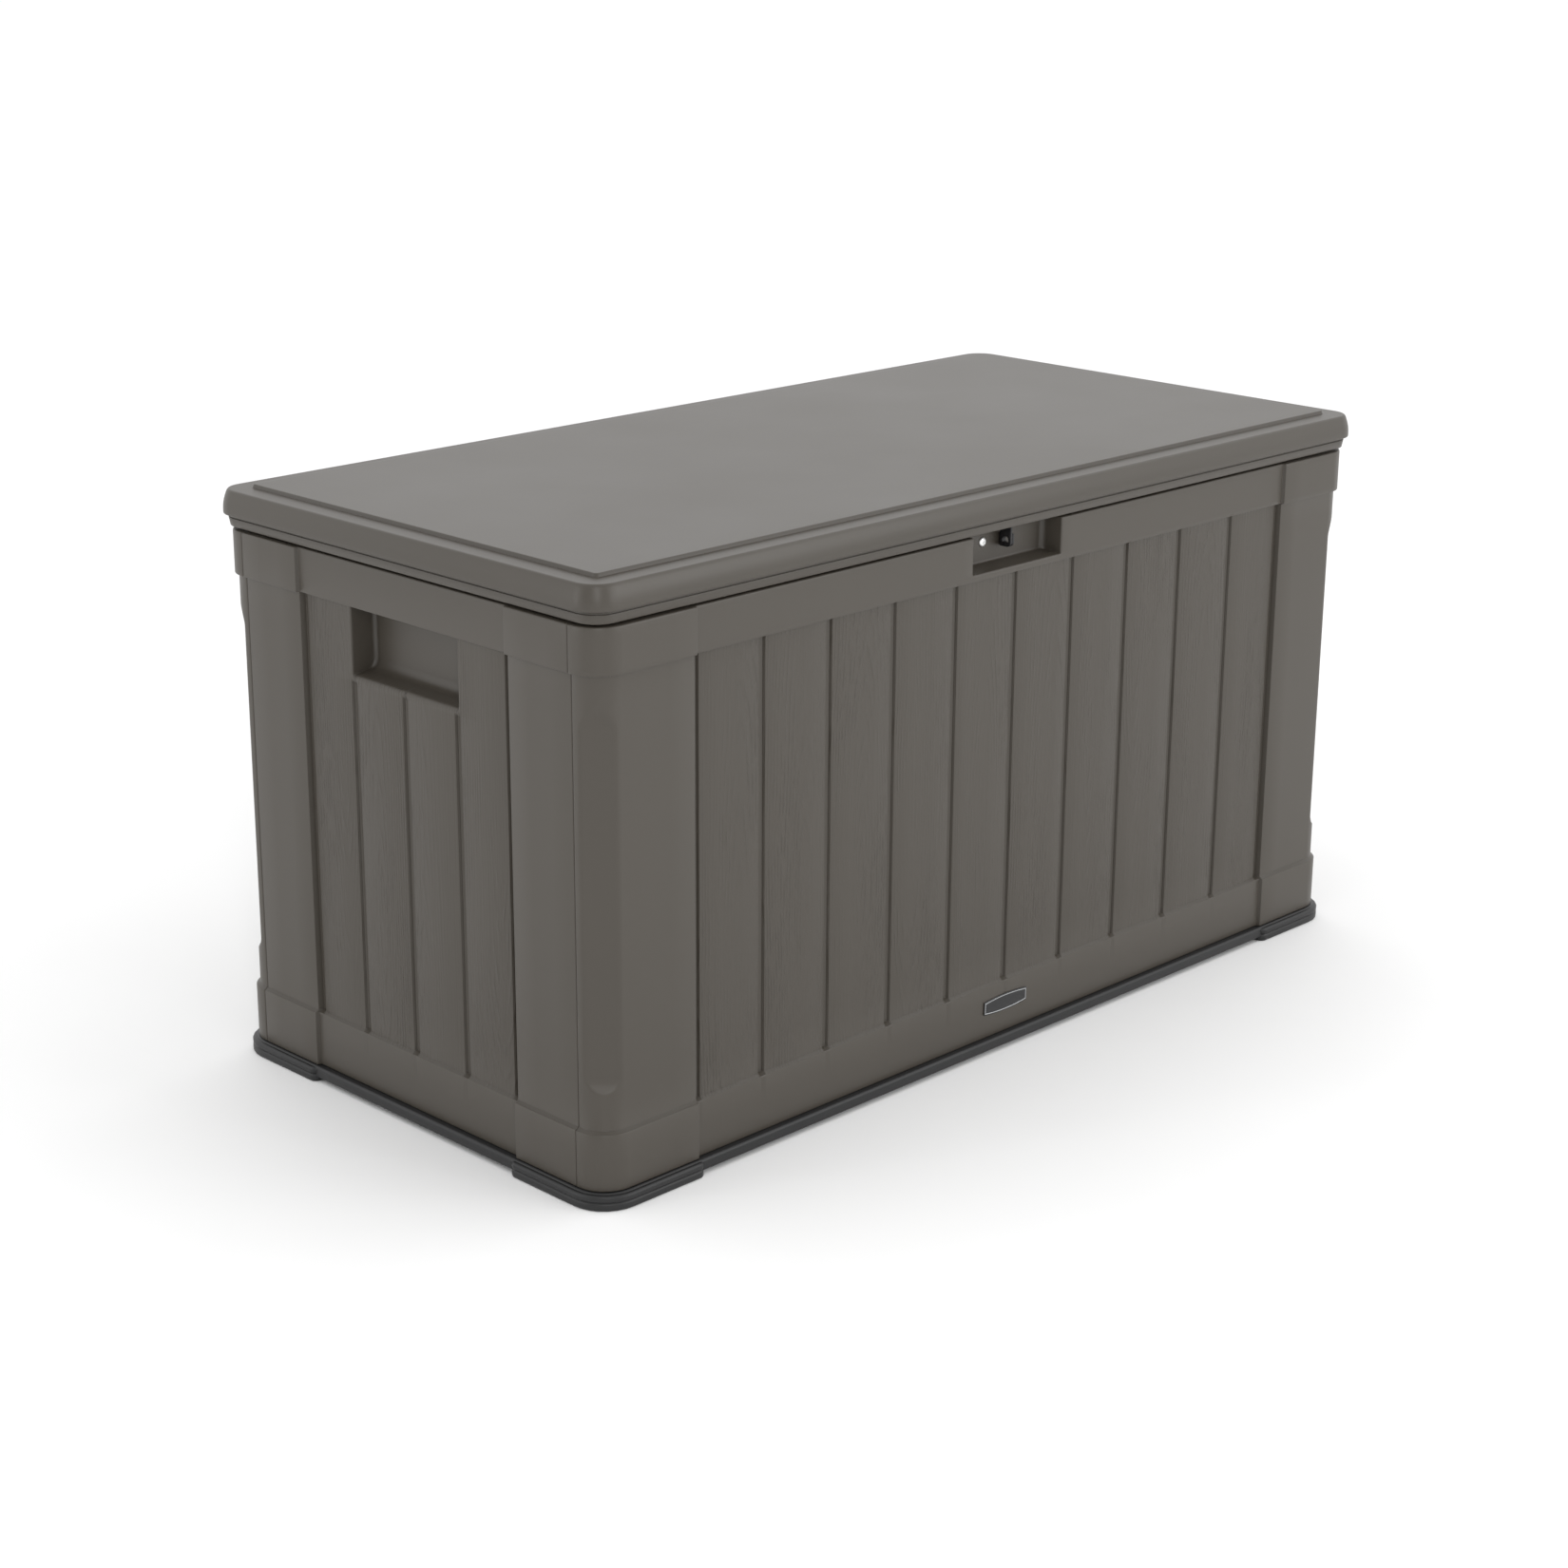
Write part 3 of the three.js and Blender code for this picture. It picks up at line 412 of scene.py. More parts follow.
def shell(outer, inner):
    """A closed skin between two matching grids of points."""
    columns, rows = outer.shape[:2]
    over = np.arange(columns * rows).reshape(columns, rows)
    under = over + columns * rows
    faces = []

    def strip(a, b):
        faces.extend(zip(a[:-1].ravel(), a[1:].ravel(), b[1:].ravel(), b[:-1].ravel()))

    for j in range(rows - 1):
        strip(over[:, j], over[:, j + 1])
        strip(under[:, j + 1], under[:, j])
    strip(under[:, 0], over[:, 0])
    strip(over[:, -1], under[:, -1])
    strip(over[0, :], under[0, :])
    strip(under[-1, :], over[-1, :])
    points = np.concatenate([outer.reshape(-1, 3), inner.reshape(-1, 3)])
    bm = bmesh.new()
    verts = [bm.verts.new(point) for point in points]
    for face in faces:
        bm.faces.new([verts[i] for i in face])
    bmesh.ops.recalc_face_normals(bm, faces=bm.faces)
    return bm


def make(name, bm, finish, body, crease=32, attributes=None):
    """Turns a millimetre mesh into a piece that rides on a body and stands for the CAD node of its name."""
    bmesh.ops.scale(bm, vec=(0.001, 0.001, 0.001), verts=bm.verts)
    for face in bm.faces:
        face.smooth = True
    for line in bm.edges:
        line.smooth = line.is_manifold and line.calc_face_angle(0) < math.radians(crease)
    mesh = bpy.data.meshes.new(name)
    bm.to_mesh(mesh)
    bm.free()
    for key, values in (attributes or {}).items():
        flat = np.zeros((len(mesh.vertices),) + values.shape[1:])
        flat[:len(values)] = values
        kind = "FLOAT" if values.ndim == 1 else "FLOAT_VECTOR"
        layer = mesh.attributes.new(key, kind, "POINT")
        layer.data.foreach_set("value" if values.ndim == 1 else "vector", flat.ravel())
    for material in finish if isinstance(finish, list) else [finish]:
        mesh.materials.append(material)
    piece = bpy.data.objects.new(name + "_shell", mesh)
    bpy.context.scene.collection.objects.link(piece)
    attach(piece, body)
    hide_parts(name)


# Taupe resin, the same on every wall and the lid: satin, with fine mould texture. Where a plank's share is
# above 0 it is embossed with upright wood grain, with arched figure on some planks.
RESIN_DARK = (0.0480, 0.0411, 0.0324, 1)
RESIN_LIGHT = (0.0583, 0.0500, 0.0394, 1)
RESIN_GLOSS = 0.37
MOULD_TEXTURE = 0.00012
GRAIN_DEPTH = 0.00090


def resin(name, grained):
    finish = Finish(name)
    place = finish.place()
    cloud = finish.noise(place, 5.0, 3.0)
    pebble = finish.noise(place, 900.0, 2.0)
    tone = cloud
    gloss = RESIN_GLOSS + cloud * 0.08
    normal = finish.bump(pebble * 0.25, MOULD_TEXTURE)
    if grained:
        share = finish.node("ShaderNodeAttribute", {"attribute_name": "grain"}, None, out=2)
        plank = finish.node("ShaderNodeAttribute", {"attribute_name": "plank"}, None, out=1)
        across, up, number = finish.parts(plank)
        lottery = finish.node("ShaderNodeTexWhiteNoise", {"noise_dimensions": "1D"}, {"W": number})
        shift = lottery * 0.06 - 0.03
        sway = finish.noise(finish.vector(across * 9, up * 2.4, number * 3.7), 1.0, 2.0)
        arch_up = up - 0.12 - lottery * 0.38
        far = ((across + shift) ** 2 + (arch_up * 0.085) ** 2) ** 0.5
        rings = ((far + sway * 0.028) * 1500).math("SINE") * 0.5 + 0.5
        fibre = finish.noise(finish.vector(across * 520, up * 9, number * 5.1), 1.0, 3.0, 0.6)
        pore = finish.noise(finish.vector(across * 260, up * 3.2, number * 2.3), 1.0, 4.0, 0.6)
        patch = finish.noise(finish.vector(across * 16, up * 4.5, number * 7.9), 1.0, 2.0)
        patch = ((patch - 0.40) * 4).math("MAXIMUM", 0.12).math("MINIMUM", 1.0)
        worn = finish.noise(finish.vector(across * 160, up * 36, number * 1.7), 1.0, 2.0)
        broken = ((worn - 0.36) * 5).math("MAXIMUM", 0.0).math("MINIMUM", 1.0)
        grain = (rings ** 3) * patch * broken * 0.75 + fibre * 0.34 + pore * 0.36
        relief = grain * share
        tone = cloud * 0.6 + (1 - relief) * 0.4
        gloss = gloss + share * 0.09
        normal = finish.bump(relief, GRAIN_DEPTH, normal)
    colour = finish.blend(tone, RESIN_DARK, RESIN_LIGHT)
    return finish.shade(Base_Color=colour, Roughness=gloss, Normal=normal)


plank_resin = resin("taupe_resin_planks", True)
plain_resin = resin("taupe_resin_plain", False)

LONG_PLANKS = 10
POST_EDGE_X = half_length - POST_WIDTH
LATCH_HALF = 75
LATCH_DEPTH = 28
LATCH_SILL = plank_top + 8
LUG_SLOT = (-0.15, 3.45)
LUG_SLOT_DEPTH = 4
LUG_SLOT_GAP = 0.3
STEP = 0.15
INSIDE_INSET = 4
arc_start = half_length - CORNER_RADIUS
arc_length = CORNER_RADIUS * math.pi / 2
seam_run = arc_start + arc_length + (half_depth - CORNER_RADIUS - inner_y)


def round_corner(run, proud):
    """Points of the front wall's path, round both corners, at a height proud of the planks."""
    side = np.sign(run)
    along = np.abs(run) - arc_start
    turn = np.clip(along / CORNER_RADIUS, 0, math.pi / 2)
    past = np.clip(along - arc_length, 0, None)
    x = np.where(along < 0, run, side * (arc_start + (CORNER_RADIUS + proud) * np.sin(turn)))
    y = -(half_depth - CORNER_RADIUS) - (CORNER_RADIUS + proud) * np.cos(turn) + past
    return x, y


def long_panel(name, facing, latch):
    """facing is 1 for the front panel and -1 for the back panel, which is the same turned round."""
    corner = arc_start + np.linspace(0, arc_length, 27)
    seam = seam_run - SEAM_ROUND * (1 - np.sin(np.radians([0, 30, 60])))
    runs = grid_lines(
        -seam_run, seam_run, groove_lines(POST_EDGE_X, LONG_PLANKS), corner, -corner, seam, -seam,
        LATCH_HALF - stops(LATCH_SIDE_EDGE, 4), -LATCH_HALF + stops(LATCH_SIDE_EDGE, 4),
        [LUG_SLOT[0], LUG_SLOT[0] + STEP, LUG_SLOT[1] - STEP, LUG_SLOT[1]],
    )
    scoop_ends = (
        SCOOP_BOTTOM + np.linspace(-1, SCOOP_BOTTOM_RUN, 15),
        SCOOP_TOP - np.linspace(-1, SCOOP_TOP_RUN, 19),
    )
    plate_low, plate_high = cad("lock_plate")
    slot_low, slot_high = plate_low[2] - LUG_SLOT_GAP, plate_high[2] + LUG_SLOT_GAP
    slot_rows = (slot_low, slot_low + STEP, slot_high - STEP, slot_high)
    heights, drawn_in = panel_rows(LATCH_SILL + stops(LATCH_SILL_EDGE, 3), *scoop_ends, *slot_rows)
    run, z = np.meshgrid(runs, heights, indexing="ij")
    proud, grain, groove = plank_relief(run, z, POST_EDGE_X, LONG_PLANKS, lambda middle: None)
    turn = (np.abs(run) - arc_start) / CORNER_RADIUS - math.pi / 4
    on_corner = (np.abs(turn) < math.pi / 4 + 0.05) & (z > SCOOP_BOTTOM - 1) & (z < SCOOP_TOP + 1)
    proud = np.where(on_corner, scooped(CORNER_RADIUS + proud, turn, z) - CORNER_RADIUS, proud)
    if latch:
        sideways = pressed(LATCH_HALF - np.abs(run), LATCH_DEPTH, LATCH_SIDE_EDGE)
        upward = pressed(z - LATCH_SILL, LATCH_DEPTH, LATCH_SILL_EDGE)
        proud = proud - LATCH_DEPTH * sideways * upward
        past_side = np.minimum(run - LUG_SLOT[0], LUG_SLOT[1] - run)
        past_end = np.minimum(z - slot_low, slot_high - z)
        in_slot = np.minimum(past_side, past_end) > 0.1
        proud = np.where(in_slot, proud - LUG_SLOT_DEPTH, proud)
    to_seam = np.clip(1 - (seam_run - np.abs(run)) / SEAM_ROUND, 0, 1)
    proud = proud - drawn_in[None, :] - SEAM_ROUND * (1 - np.sqrt(1 - to_seam ** 2))
    x, y = round_corner(run, proud)
    outer = np.stack([x, y, z], axis=-1) * (facing, facing, 1)
    inside_x = run * (half_length - INSIDE_INSET) / seam_run
    inside_y = -inner_y - GROOVE_INSIDE * groove
    inner = np.stack(np.broadcast_arrays(inside_x, inside_y, z), axis=-1) * (facing, facing, 1)
    attributes = {
        "grain": grain.ravel(),
        "plank": plank_map(run, z, POST_EDGE_X, LONG_PLANKS, facing + 2).reshape(-1, 3),
    }
    make(name, shell(outer, inner), plank_resin, "box", attributes=attributes)


long_panel("front_panel", 1, True)
long_panel("back_panel", -1, False)


# ---- End panels ----
# Blow-moulded like the long panels, and set between them. Each has a deep hand hold under the upper band
# and a lap tab down each inner edge, where the corner screws go.
END_PLANKS = 4
POST_EDGE_Y = half_depth - POST_WIDTH
HAND_HALF = POST_EDGE_Y / 2 + 2
HAND_BOTTOM = plank_top - 76.5
HAND_DEPTH = 31
HAND_SIDE_EDGE = (2.2, 1.6, 5)
HAND_SILL_EDGE = (6, 2.0, 12)
HAND_TOP_EDGE = (0.5, 0.5, 0.5)
GROOVE_BELOW_SILL = 6
PANEL_GAP = 0.3
end_run = inner_y - PANEL_GAP
TAB_WIDTH = 25
TAB_THICK = 8
TAB_ROUND = 1.5
TAB_RISE = 40.8
TAB_DROP = 23


def block(low, high, rounded=1.0, segments=2):
    """A box with rounded edges between two corners."""
    low, high = np.array(low, float), np.array(high, float)
    bm = bmesh.new()
    bmesh.ops.create_cube(bm, size=1)
    bmesh.ops.scale(bm, vec=high - low, verts=bm.verts)
    bmesh.ops.translate(bm, vec=(low + high) / 2, verts=bm.verts)
    if rounded:
        bmesh.ops.bevel(bm, geom=bm.edges, offset=rounded, segments=segments, affect="EDGES", profile=0.5)
    return bm


def join(first, *others):
    """One mesh of several."""
    for other in others:
        mesh = bpy.data.meshes.new("part")
        other.to_mesh(mesh)
        other.free()
        first.from_mesh(mesh)
        bpy.data.meshes.remove(mesh)
    return first


def end_panel(name, facing):
    """facing is 1 for the left panel and -1 for the right one, which is the same turned round."""
    seam = end_run - SEAM_ROUND * (1 - np.sin(np.radians([0, 30, 60])))
    runs = grid_lines(
        -end_run, end_run, groove_lines(POST_EDGE_Y, END_PLANKS), seam, -seam,
        HAND_HALF - stops(HAND_SIDE_EDGE, 4), -HAND_HALF + stops(HAND_SIDE_EDGE, 4),
    )
    groove_end = HAND_BOTTOM - GROOVE_BELOW_SILL
    heights, drawn_in = panel_rows(
        HAND_BOTTOM + stops(HAND_SILL_EDGE, 4), plank_top - stops(HAND_TOP_EDGE),
        groove_end - stops(GROOVE_END_EDGE, 3),
    )
    run, z = np.meshgrid(runs, heights, indexing="ij")
    proud, grain, groove = plank_relief(run, z, POST_EDGE_Y, END_PLANKS, lambda middle: groove_end)
    sideways = pressed(HAND_HALF - np.abs(run), HAND_DEPTH, HAND_SIDE_EDGE)
    upward = pressed(z - HAND_BOTTOM, HAND_DEPTH, HAND_SILL_EDGE)
    downward = pressed(plank_top - z, HAND_DEPTH, HAND_TOP_EDGE)
    hold = sideways * upward * downward
    to_seam = np.clip(1 - (end_run - np.abs(run)) / SEAM_ROUND, 0, 1)
    rounded = drawn_in[None, :] + SEAM_ROUND * (1 - np.sqrt(1 - to_seam ** 2))
    proud = proud - HAND_DEPTH * hold - rounded
    outer = np.stack([-(half_length + proud), run, z], axis=-1) * (facing, facing, 1)
    inside_x = -inner_x - GROOVE_INSIDE * groove
    inner = np.stack(np.broadcast_arrays(inside_x, run, z), axis=-1) * (facing, facing, 1)
    bm = shell(outer, inner)
    tab_low, tab_high = wall_bottom + TAB_RISE, wall_top - TAB_DROP
    for side in (-1, 1):
        edge = sorted((side * (end_run - TAB_THICK), side * end_run))
        ends = sorted((-facing * (inner_x - TAB_WIDTH), -facing * (inner_x + 1)))
        bm = join(bm, block((ends[0], edge[0], tab_low), (ends[1], edge[1], tab_high), TAB_ROUND))
    attributes = {
        "grain": (grain * (1 - np.clip(hold * 3, 0, 1))).ravel(),
        "plank": plank_map(run, z, POST_EDGE_Y, END_PLANKS, facing + 5).reshape(-1, 3),
    }
    make(name, bm, plank_resin, "box", attributes=attributes)


end_panel("left_end_panel", 1)
end_panel("right_end_panel", -1)


# ---- Base tray ----
# One black moulded tray: a flange that the walls stand on, four corner feet with a double bead round them,
# and a deck of raised slats inside the walls. Four screws come up through the flange into the long panels.
FLANGE_TOP = 18.9
FLANGE_BOTTOM = 6
FLANGE_PROUD = 12
FLANGE_ROUND = 3.6
FOOT_LENGTH = 133
FOOT_PROUD = 16
FOOT_END_ROUND = 9
FOOT_INNER_ROUND = 4
FOOT_PROFILE = (
    (0, 2.6), (0.5, 1.3), (1.4, 0.4), (2.8, 0), (7.0, 0), (8.3, 0.5), (9.1, 1.5), (9.7, 1.5), (10.5, 0.5),
    (11.8, 0), (14.2, 0), (15.8, 0.5), (16.9, 1.5), (17.4, 3.0), (17.4, 5.0),
)
DECK_TOP = 34
SLAT_DROP = 1.6
SLATS = 6
SLAT_GAP = 9
SLAT_SUNK = 3
SLAT_ROUND = 1.2
DECK_MARGIN = 14
COUNTERBORE = 6.2
COUNTERBORE_TOP = 3.5
BASE_SCREW_X = 330
BASE_SCREW_INSET = 16.25
BLACK_DARK = (0.0050, 0.0051, 0.0055, 1)
BLACK_LIGHT = (0.0100, 0.0102, 0.0108, 1)


def ring(half_x, half_y, radii, z, middle=(0, 0), steps=7):
    """A level loop of points round a rectangle, with a radius for each corner, anticlockwise from the
    front right one."""
    points = []
    corners = zip(((1, -1), (1, 1), (-1, 1), (-1, -1)), np.broadcast_to(radii, 4))
    for i, ((side_x, side_y), radius) in enumerate(corners):
        centre_x = middle[0] + side_x * (half_x - radius)
        centre_y = middle[1] + side_y * (half_y - radius)
        for turn in np.linspace(i - 1, i, steps + 1) * math.pi / 2:
            points.append((centre_x + radius * math.cos(turn), centre_y + radius * math.sin(turn), z))
    return np.array(points)


def stack(rings):
    """A closed skin through a pile of loops, with a flat cap on the first and last."""
    bm = bmesh.new()
    loops = [[bm.verts.new(point) for point in points] for points in rings]
    for low, high in zip(loops, loops[1:]):
        for i in range(len(low)):
            bm.faces.new((low[i - 1], low[i], high[i], high[i - 1]))
    bm.faces.new(loops[0][::-1])
    bm.faces.new(loops[-1])
    bmesh.ops.recalc_face_normals(bm, faces=bm.faces)
    return bm


def turned(profile, start, towards, sides=24, hollow=False):
    """A solid of revolution about a line. profile holds (distance along, radius) pairs."""
    axis = Vector(towards).normalized()
    across = axis.orthogonal().normalized()
    other = axis.cross(across)
    bm = bmesh.new()
    loops = []
    for along, radius in profile:
        centre = Vector(start) + axis * float(along)
        turns = [2 * math.pi * i / sides for i in range(sides if radius else 1)]
        spokes = [across * math.cos(turn) + other * math.sin(turn) for turn in turns]
        loops.append([bm.verts.new(centre + spoke * float(radius)) for spoke in spokes])
    following = loops[1:] + (loops[:1] if hollow else [])
    for low, high in zip(loops, following):
        for i in range(sides):
            below = [low[(i - 1) % len(low)], low[i % len(low)]]
            above = [high[i % len(high)], high[(i - 1) % len(high)]]
            bm.faces.new(list(dict.fromkeys(below + above)))
    bmesh.ops.recalc_face_normals(bm, faces=bm.faces)
    return bm


def carve(bm, *cutters):
    """Cuts the other meshes out of the first."""
    pair = []
    for part in (bm, join(*cutters)):
        mesh = bpy.data.meshes.new("part")
        part.to_mesh(mesh)
        part.free()
        pair.append(bpy.data.objects.new("part", mesh))
        bpy.context.scene.collection.objects.link(pair[-1])
    cut = pair[0].modifiers.new("cut", "BOOLEAN")
    cut.operation = "DIFFERENCE"
    cut.solver = "EXACT"
    cut.object = pair[1]
    bpy.context.view_layer.update()
    carved = bmesh.new()
    carved.from_object(pair[0], bpy.context.evaluated_depsgraph_get())
    for part in pair:
        mesh = part.data
        bpy.data.objects.remove(part)
        bpy.data.meshes.remove(mesh)
    return carved


def black_plastic(name, roughness):
    finish = Finish(name)
    place = finish.place()
    cloud = finish.noise(place, 14.0, 3.0)
    grit = finish.noise(place, 1400.0, 2.0)
    return finish.shade(
        Base_Color=finish.blend(cloud * 0.7 + grit * 0.3, BLACK_DARK, BLACK_LIGHT),
        Roughness=roughness + grit * 0.12,
        Normal=finish.bump(grit, 0.00006),
    )


black_resin = black_plastic("black_resin", 0.40)
deck_x = inner_x - 0.6
deck_y = inner_y - 0.6


def flange_ring(proud, z):
    return ring(half_length + proud, half_depth + proud, CORNER_RADIUS + proud, z)


roll = [math.pi / 2 * i / 4 for i in range(5)]
tray_rings = [flange_ring(FLANGE_PROUD - 1, FLANGE_BOTTOM), flange_ring(FLANGE_PROUD, FLANGE_BOTTOM + 1)]
for turn in roll:
    in_by = FLANGE_ROUND * (1 - math.cos(turn))
    down_by = FLANGE_ROUND * (1 - math.sin(turn))
    tray_rings.append(flange_ring(FLANGE_PROUD - in_by, FLANGE_TOP - down_by))
deck_side = ((0, FLANGE_TOP), (0, DECK_TOP - 1.5), (0.5, DECK_TOP - 0.5), (1.5, DECK_TOP), (8, DECK_TOP))
deck_side += ((9.5, DECK_TOP - SLAT_DROP), (11, DECK_TOP - SLAT_DROP))
tray_rings += [ring(deck_x - inset, deck_y - inset, 3, z) for inset, z in deck_side]
counterbores = []
bore_profile = ((-2, 0), (-2, COUNTERBORE), (COUNTERBORE_TOP, COUNTERBORE), (COUNTERBORE_TOP, 0))
for side_x in (-1, 1):
    for side_y in (-1, 1):
        spot = (side_x * BASE_SCREW_X, side_y * (half_depth - BASE_SCREW_INSET), FLANGE_BOTTOM)
        counterbores.append(turned(bore_profile, spot, (0, 0, 1)))
tray = carve(stack(tray_rings), *counterbores)
slat_pitch = 2 * (deck_y - DECK_MARGIN) / SLATS
for i in range(SLATS):
    low_y = -(deck_y - DECK_MARGIN) + i * slat_pitch + SLAT_GAP / 2
    slat_low = (DECK_MARGIN - deck_x, low_y, DECK_TOP - SLAT_SUNK)
    slat_high = (deck_x - DECK_MARGIN, low_y + slat_pitch - SLAT_GAP, DECK_TOP)
    tray = join(tray, block(slat_low, slat_high, SLAT_ROUND, 3))
foot_half_x = foot_half_y = (FOOT_LENGTH + FOOT_PROUD) / 2
for i, (side_x, side_y) in enumerate(((1, -1), (1, 1), (-1, 1), (-1, -1))):
    radii = np.full(4, FOOT_END_ROUND)
    radii[i] = CORNER_RADIUS + FOOT_PROUD
    radii[(i + 2) % 4] = FOOT_INNER_ROUND
    middle = (
        side_x * (half_length + FOOT_PROUD - foot_half_x),
        side_y * (half_depth + FOOT_PROUD - foot_half_y),
    )
    tray = join(tray, stack([
        ring(foot_half_x - inset, foot_half_y - inset, np.maximum(radii - inset, 0.5), z, middle)
        for z, inset in FOOT_PROFILE
    ]))
make("base_tray", tray, black_resin, "box")


# ---- Lid ----
# One hollow blow-moulded panel with a bulging side, a lip that slopes in under it over the walls, and a
# raised field on top. Its underside has a sunk field with slots, and pockets for the hinges and brackets.
lid_low, lid_high = cad("lid")
lid_bottom, lid_top = lid_low[2], lid_high[2]
LID_PROUD = 14
LID_RADIUS = 33.5
LID_FLANGE = lid_top - 4
LIP_SLOPE = (
    (4.2, 0), (6.0, 0.3), (6.8, 1.1), (8.5, 9.6), (8.3, 10.1), (7.1, 10.5), (7.1, 12.0), (9.3, 12.8),
    (13.0, 13.9), (13.7, 14.4), (14, 15.4), (14, 18.5), (13.8, 22), (13.3, 26), (12.4, 30), (11.2, 34),
    (9.9, 37.6), (9.3, 39.0), (8.5, 40.2), (7.4, 41.0), (6.2, 41.2), (4.5, 41.2),
)
FIELD_INSET = 18.4
FIELD_RADIUS = 4
FIELD_MARGIN = 2.6
MARGIN_RADIUS = 6.5
FIELD_EDGE = ((-1.0, -4), (-0.3, -3.8), (0, -3.3), (0.7, -0.6), (1.1, -0.15), (1.8, 0), (3.3, 0))
UNDER_INSET = 80
UNDER_RADIUS = 24
UNDER_DEPTH = 4.2
UNDER_EDGE = ((3, UNDER_DEPTH), (1.6, UNDER_DEPTH), (0.9, 3.6), (0, 0.8), (-0.8, 0.1), (-2, 0))
POCKET_TOP = lid_bottom + 2.6
UNDER_SLOT = (90, 15, 3)
UNDER_SLOT_PITCH = (212, 140)
POCKET_GAP = 0.3
POCKET_DEEP = 20
TAB_POCKET = ((-26.3, -301.1), (0.15, -281.5))


def lid_ring(proud, z):
    return ring(half_length + proud, half_depth + proud, LID_RADIUS - LID_PROUD + proud, z)


def inset_ring(inset, z, radius):
    return ring(half_length - inset, half_depth - inset, radius, z)


lid_rings = [inset_ring(UNDER_INSET + more, lid_bottom + up, UNDER_RADIUS) for more, up in UNDER_EDGE]
lid_rings += [lid_ring(proud, lid_bottom + up) for proud, up in LIP_SLOPE]
lid_rings.append(inset_ring(FIELD_INSET - FIELD_MARGIN, LID_FLANGE, MARGIN_RADIUS))
lid_rings += [inset_ring(FIELD_INSET + more, lid_top + up, FIELD_RADIUS) for more, up in FIELD_EDGE]
cuts = []
for place in ("left", "middle", "right"):
    leaf_low, leaf_high = cad(f"hinge_{place}_lid_leaf")
    cut_low = (leaf_low[0] - POCKET_GAP, leaf_low[1] - POCKET_GAP, lid_bottom - POCKET_DEEP)
    cuts.append(block(cut_low, (leaf_high[0] + POCKET_GAP, half_depth + 60, POCKET_TOP), 0))
for bracket in ("strut_left_lid_bracket", "strut_right_lid_bracket"):
    foot_low, foot_high = cad(bracket)
    cut_low = (foot_low[0] - POCKET_GAP, foot_low[1] - POCKET_GAP, lid_bottom - POCKET_DEEP)
    cuts.append(block(cut_low, (foot_high[0] + POCKET_GAP, foot_high[1] + POCKET_GAP, POCKET_TOP), 0))
cuts.append(block((*TAB_POCKET[0], lid_bottom - POCKET_DEEP), (*TAB_POCKET[1], POCKET_TOP), 0))
slot_x, slot_y, slot_deep = UNDER_SLOT
for i in range(5):
    for j in range(3):
        middle = ((i - 2) * UNDER_SLOT_PITCH[0], (j - 1) * UNDER_SLOT_PITCH[1])
        slot_end = UNDER_DEPTH + slot_deep
        slot_rings = ((0.92, slot_end), (1, slot_end - 1), (1.04, 3.6), (1.04, -POCKET_DEEP))
        cuts.append(stack([
            ring(slot_x * share, slot_y * share, slot_y * share - 1, lid_bottom + up, middle)
            for share, up in slot_rings
        ]))
make("lid", carve(stack(lid_rings), *cuts), plain_resin, "lid", 36)


# ---- Hinges ----
# Three zinc-plated butt hinges of five knuckles, with one leaf on the back panel and the other let into
# the lid. A pin with domed ends runs through each.
ZINC_DARK = (0.40, 0.41, 0.42, 1)
ZINC_LIGHT = (0.60, 0.61, 0.62, 1)
KNUCKLE = 3.8
PIN_HOLE = 2.2
LEAF_THICK = 2
LEAF_ROUND = 0.5
KNUCKLES = 5
KNUCKLE_GAP = 0.15
LINK_ROUND = 0.2


def metal(name, dark, light, metallic, roughness, grain):
    """Plated or coated steel, with a faint cloud in its colour and fine scratches in its gloss."""
    finish = Finish(name)
    place = finish.place()
    cloud = finish.noise(place, 60.0, 4.0)
    scratch = finish.noise(place, grain, 2.0, 0.7)
    return finish.shade(
        Base_Color=finish.blend(cloud, dark, light),
        Metallic=metallic,
        Roughness=roughness + cloud * 0.10 + scratch * 0.08,
        Normal=finish.bump(scratch, 0.00002),
    )


def barrel(start, end, outer, hole):
    """A knuckle or eye: a short tube with eased edges."""
    way = Vector(end) - Vector(start)
    length = way.length
    ease = 0.3
    profile = (
        (0, hole), (0, outer - ease), (ease, outer),
        (length - ease, outer), (length, outer - ease), (length, hole),
    )
    return turned(profile, start, way, 24, hollow=True)


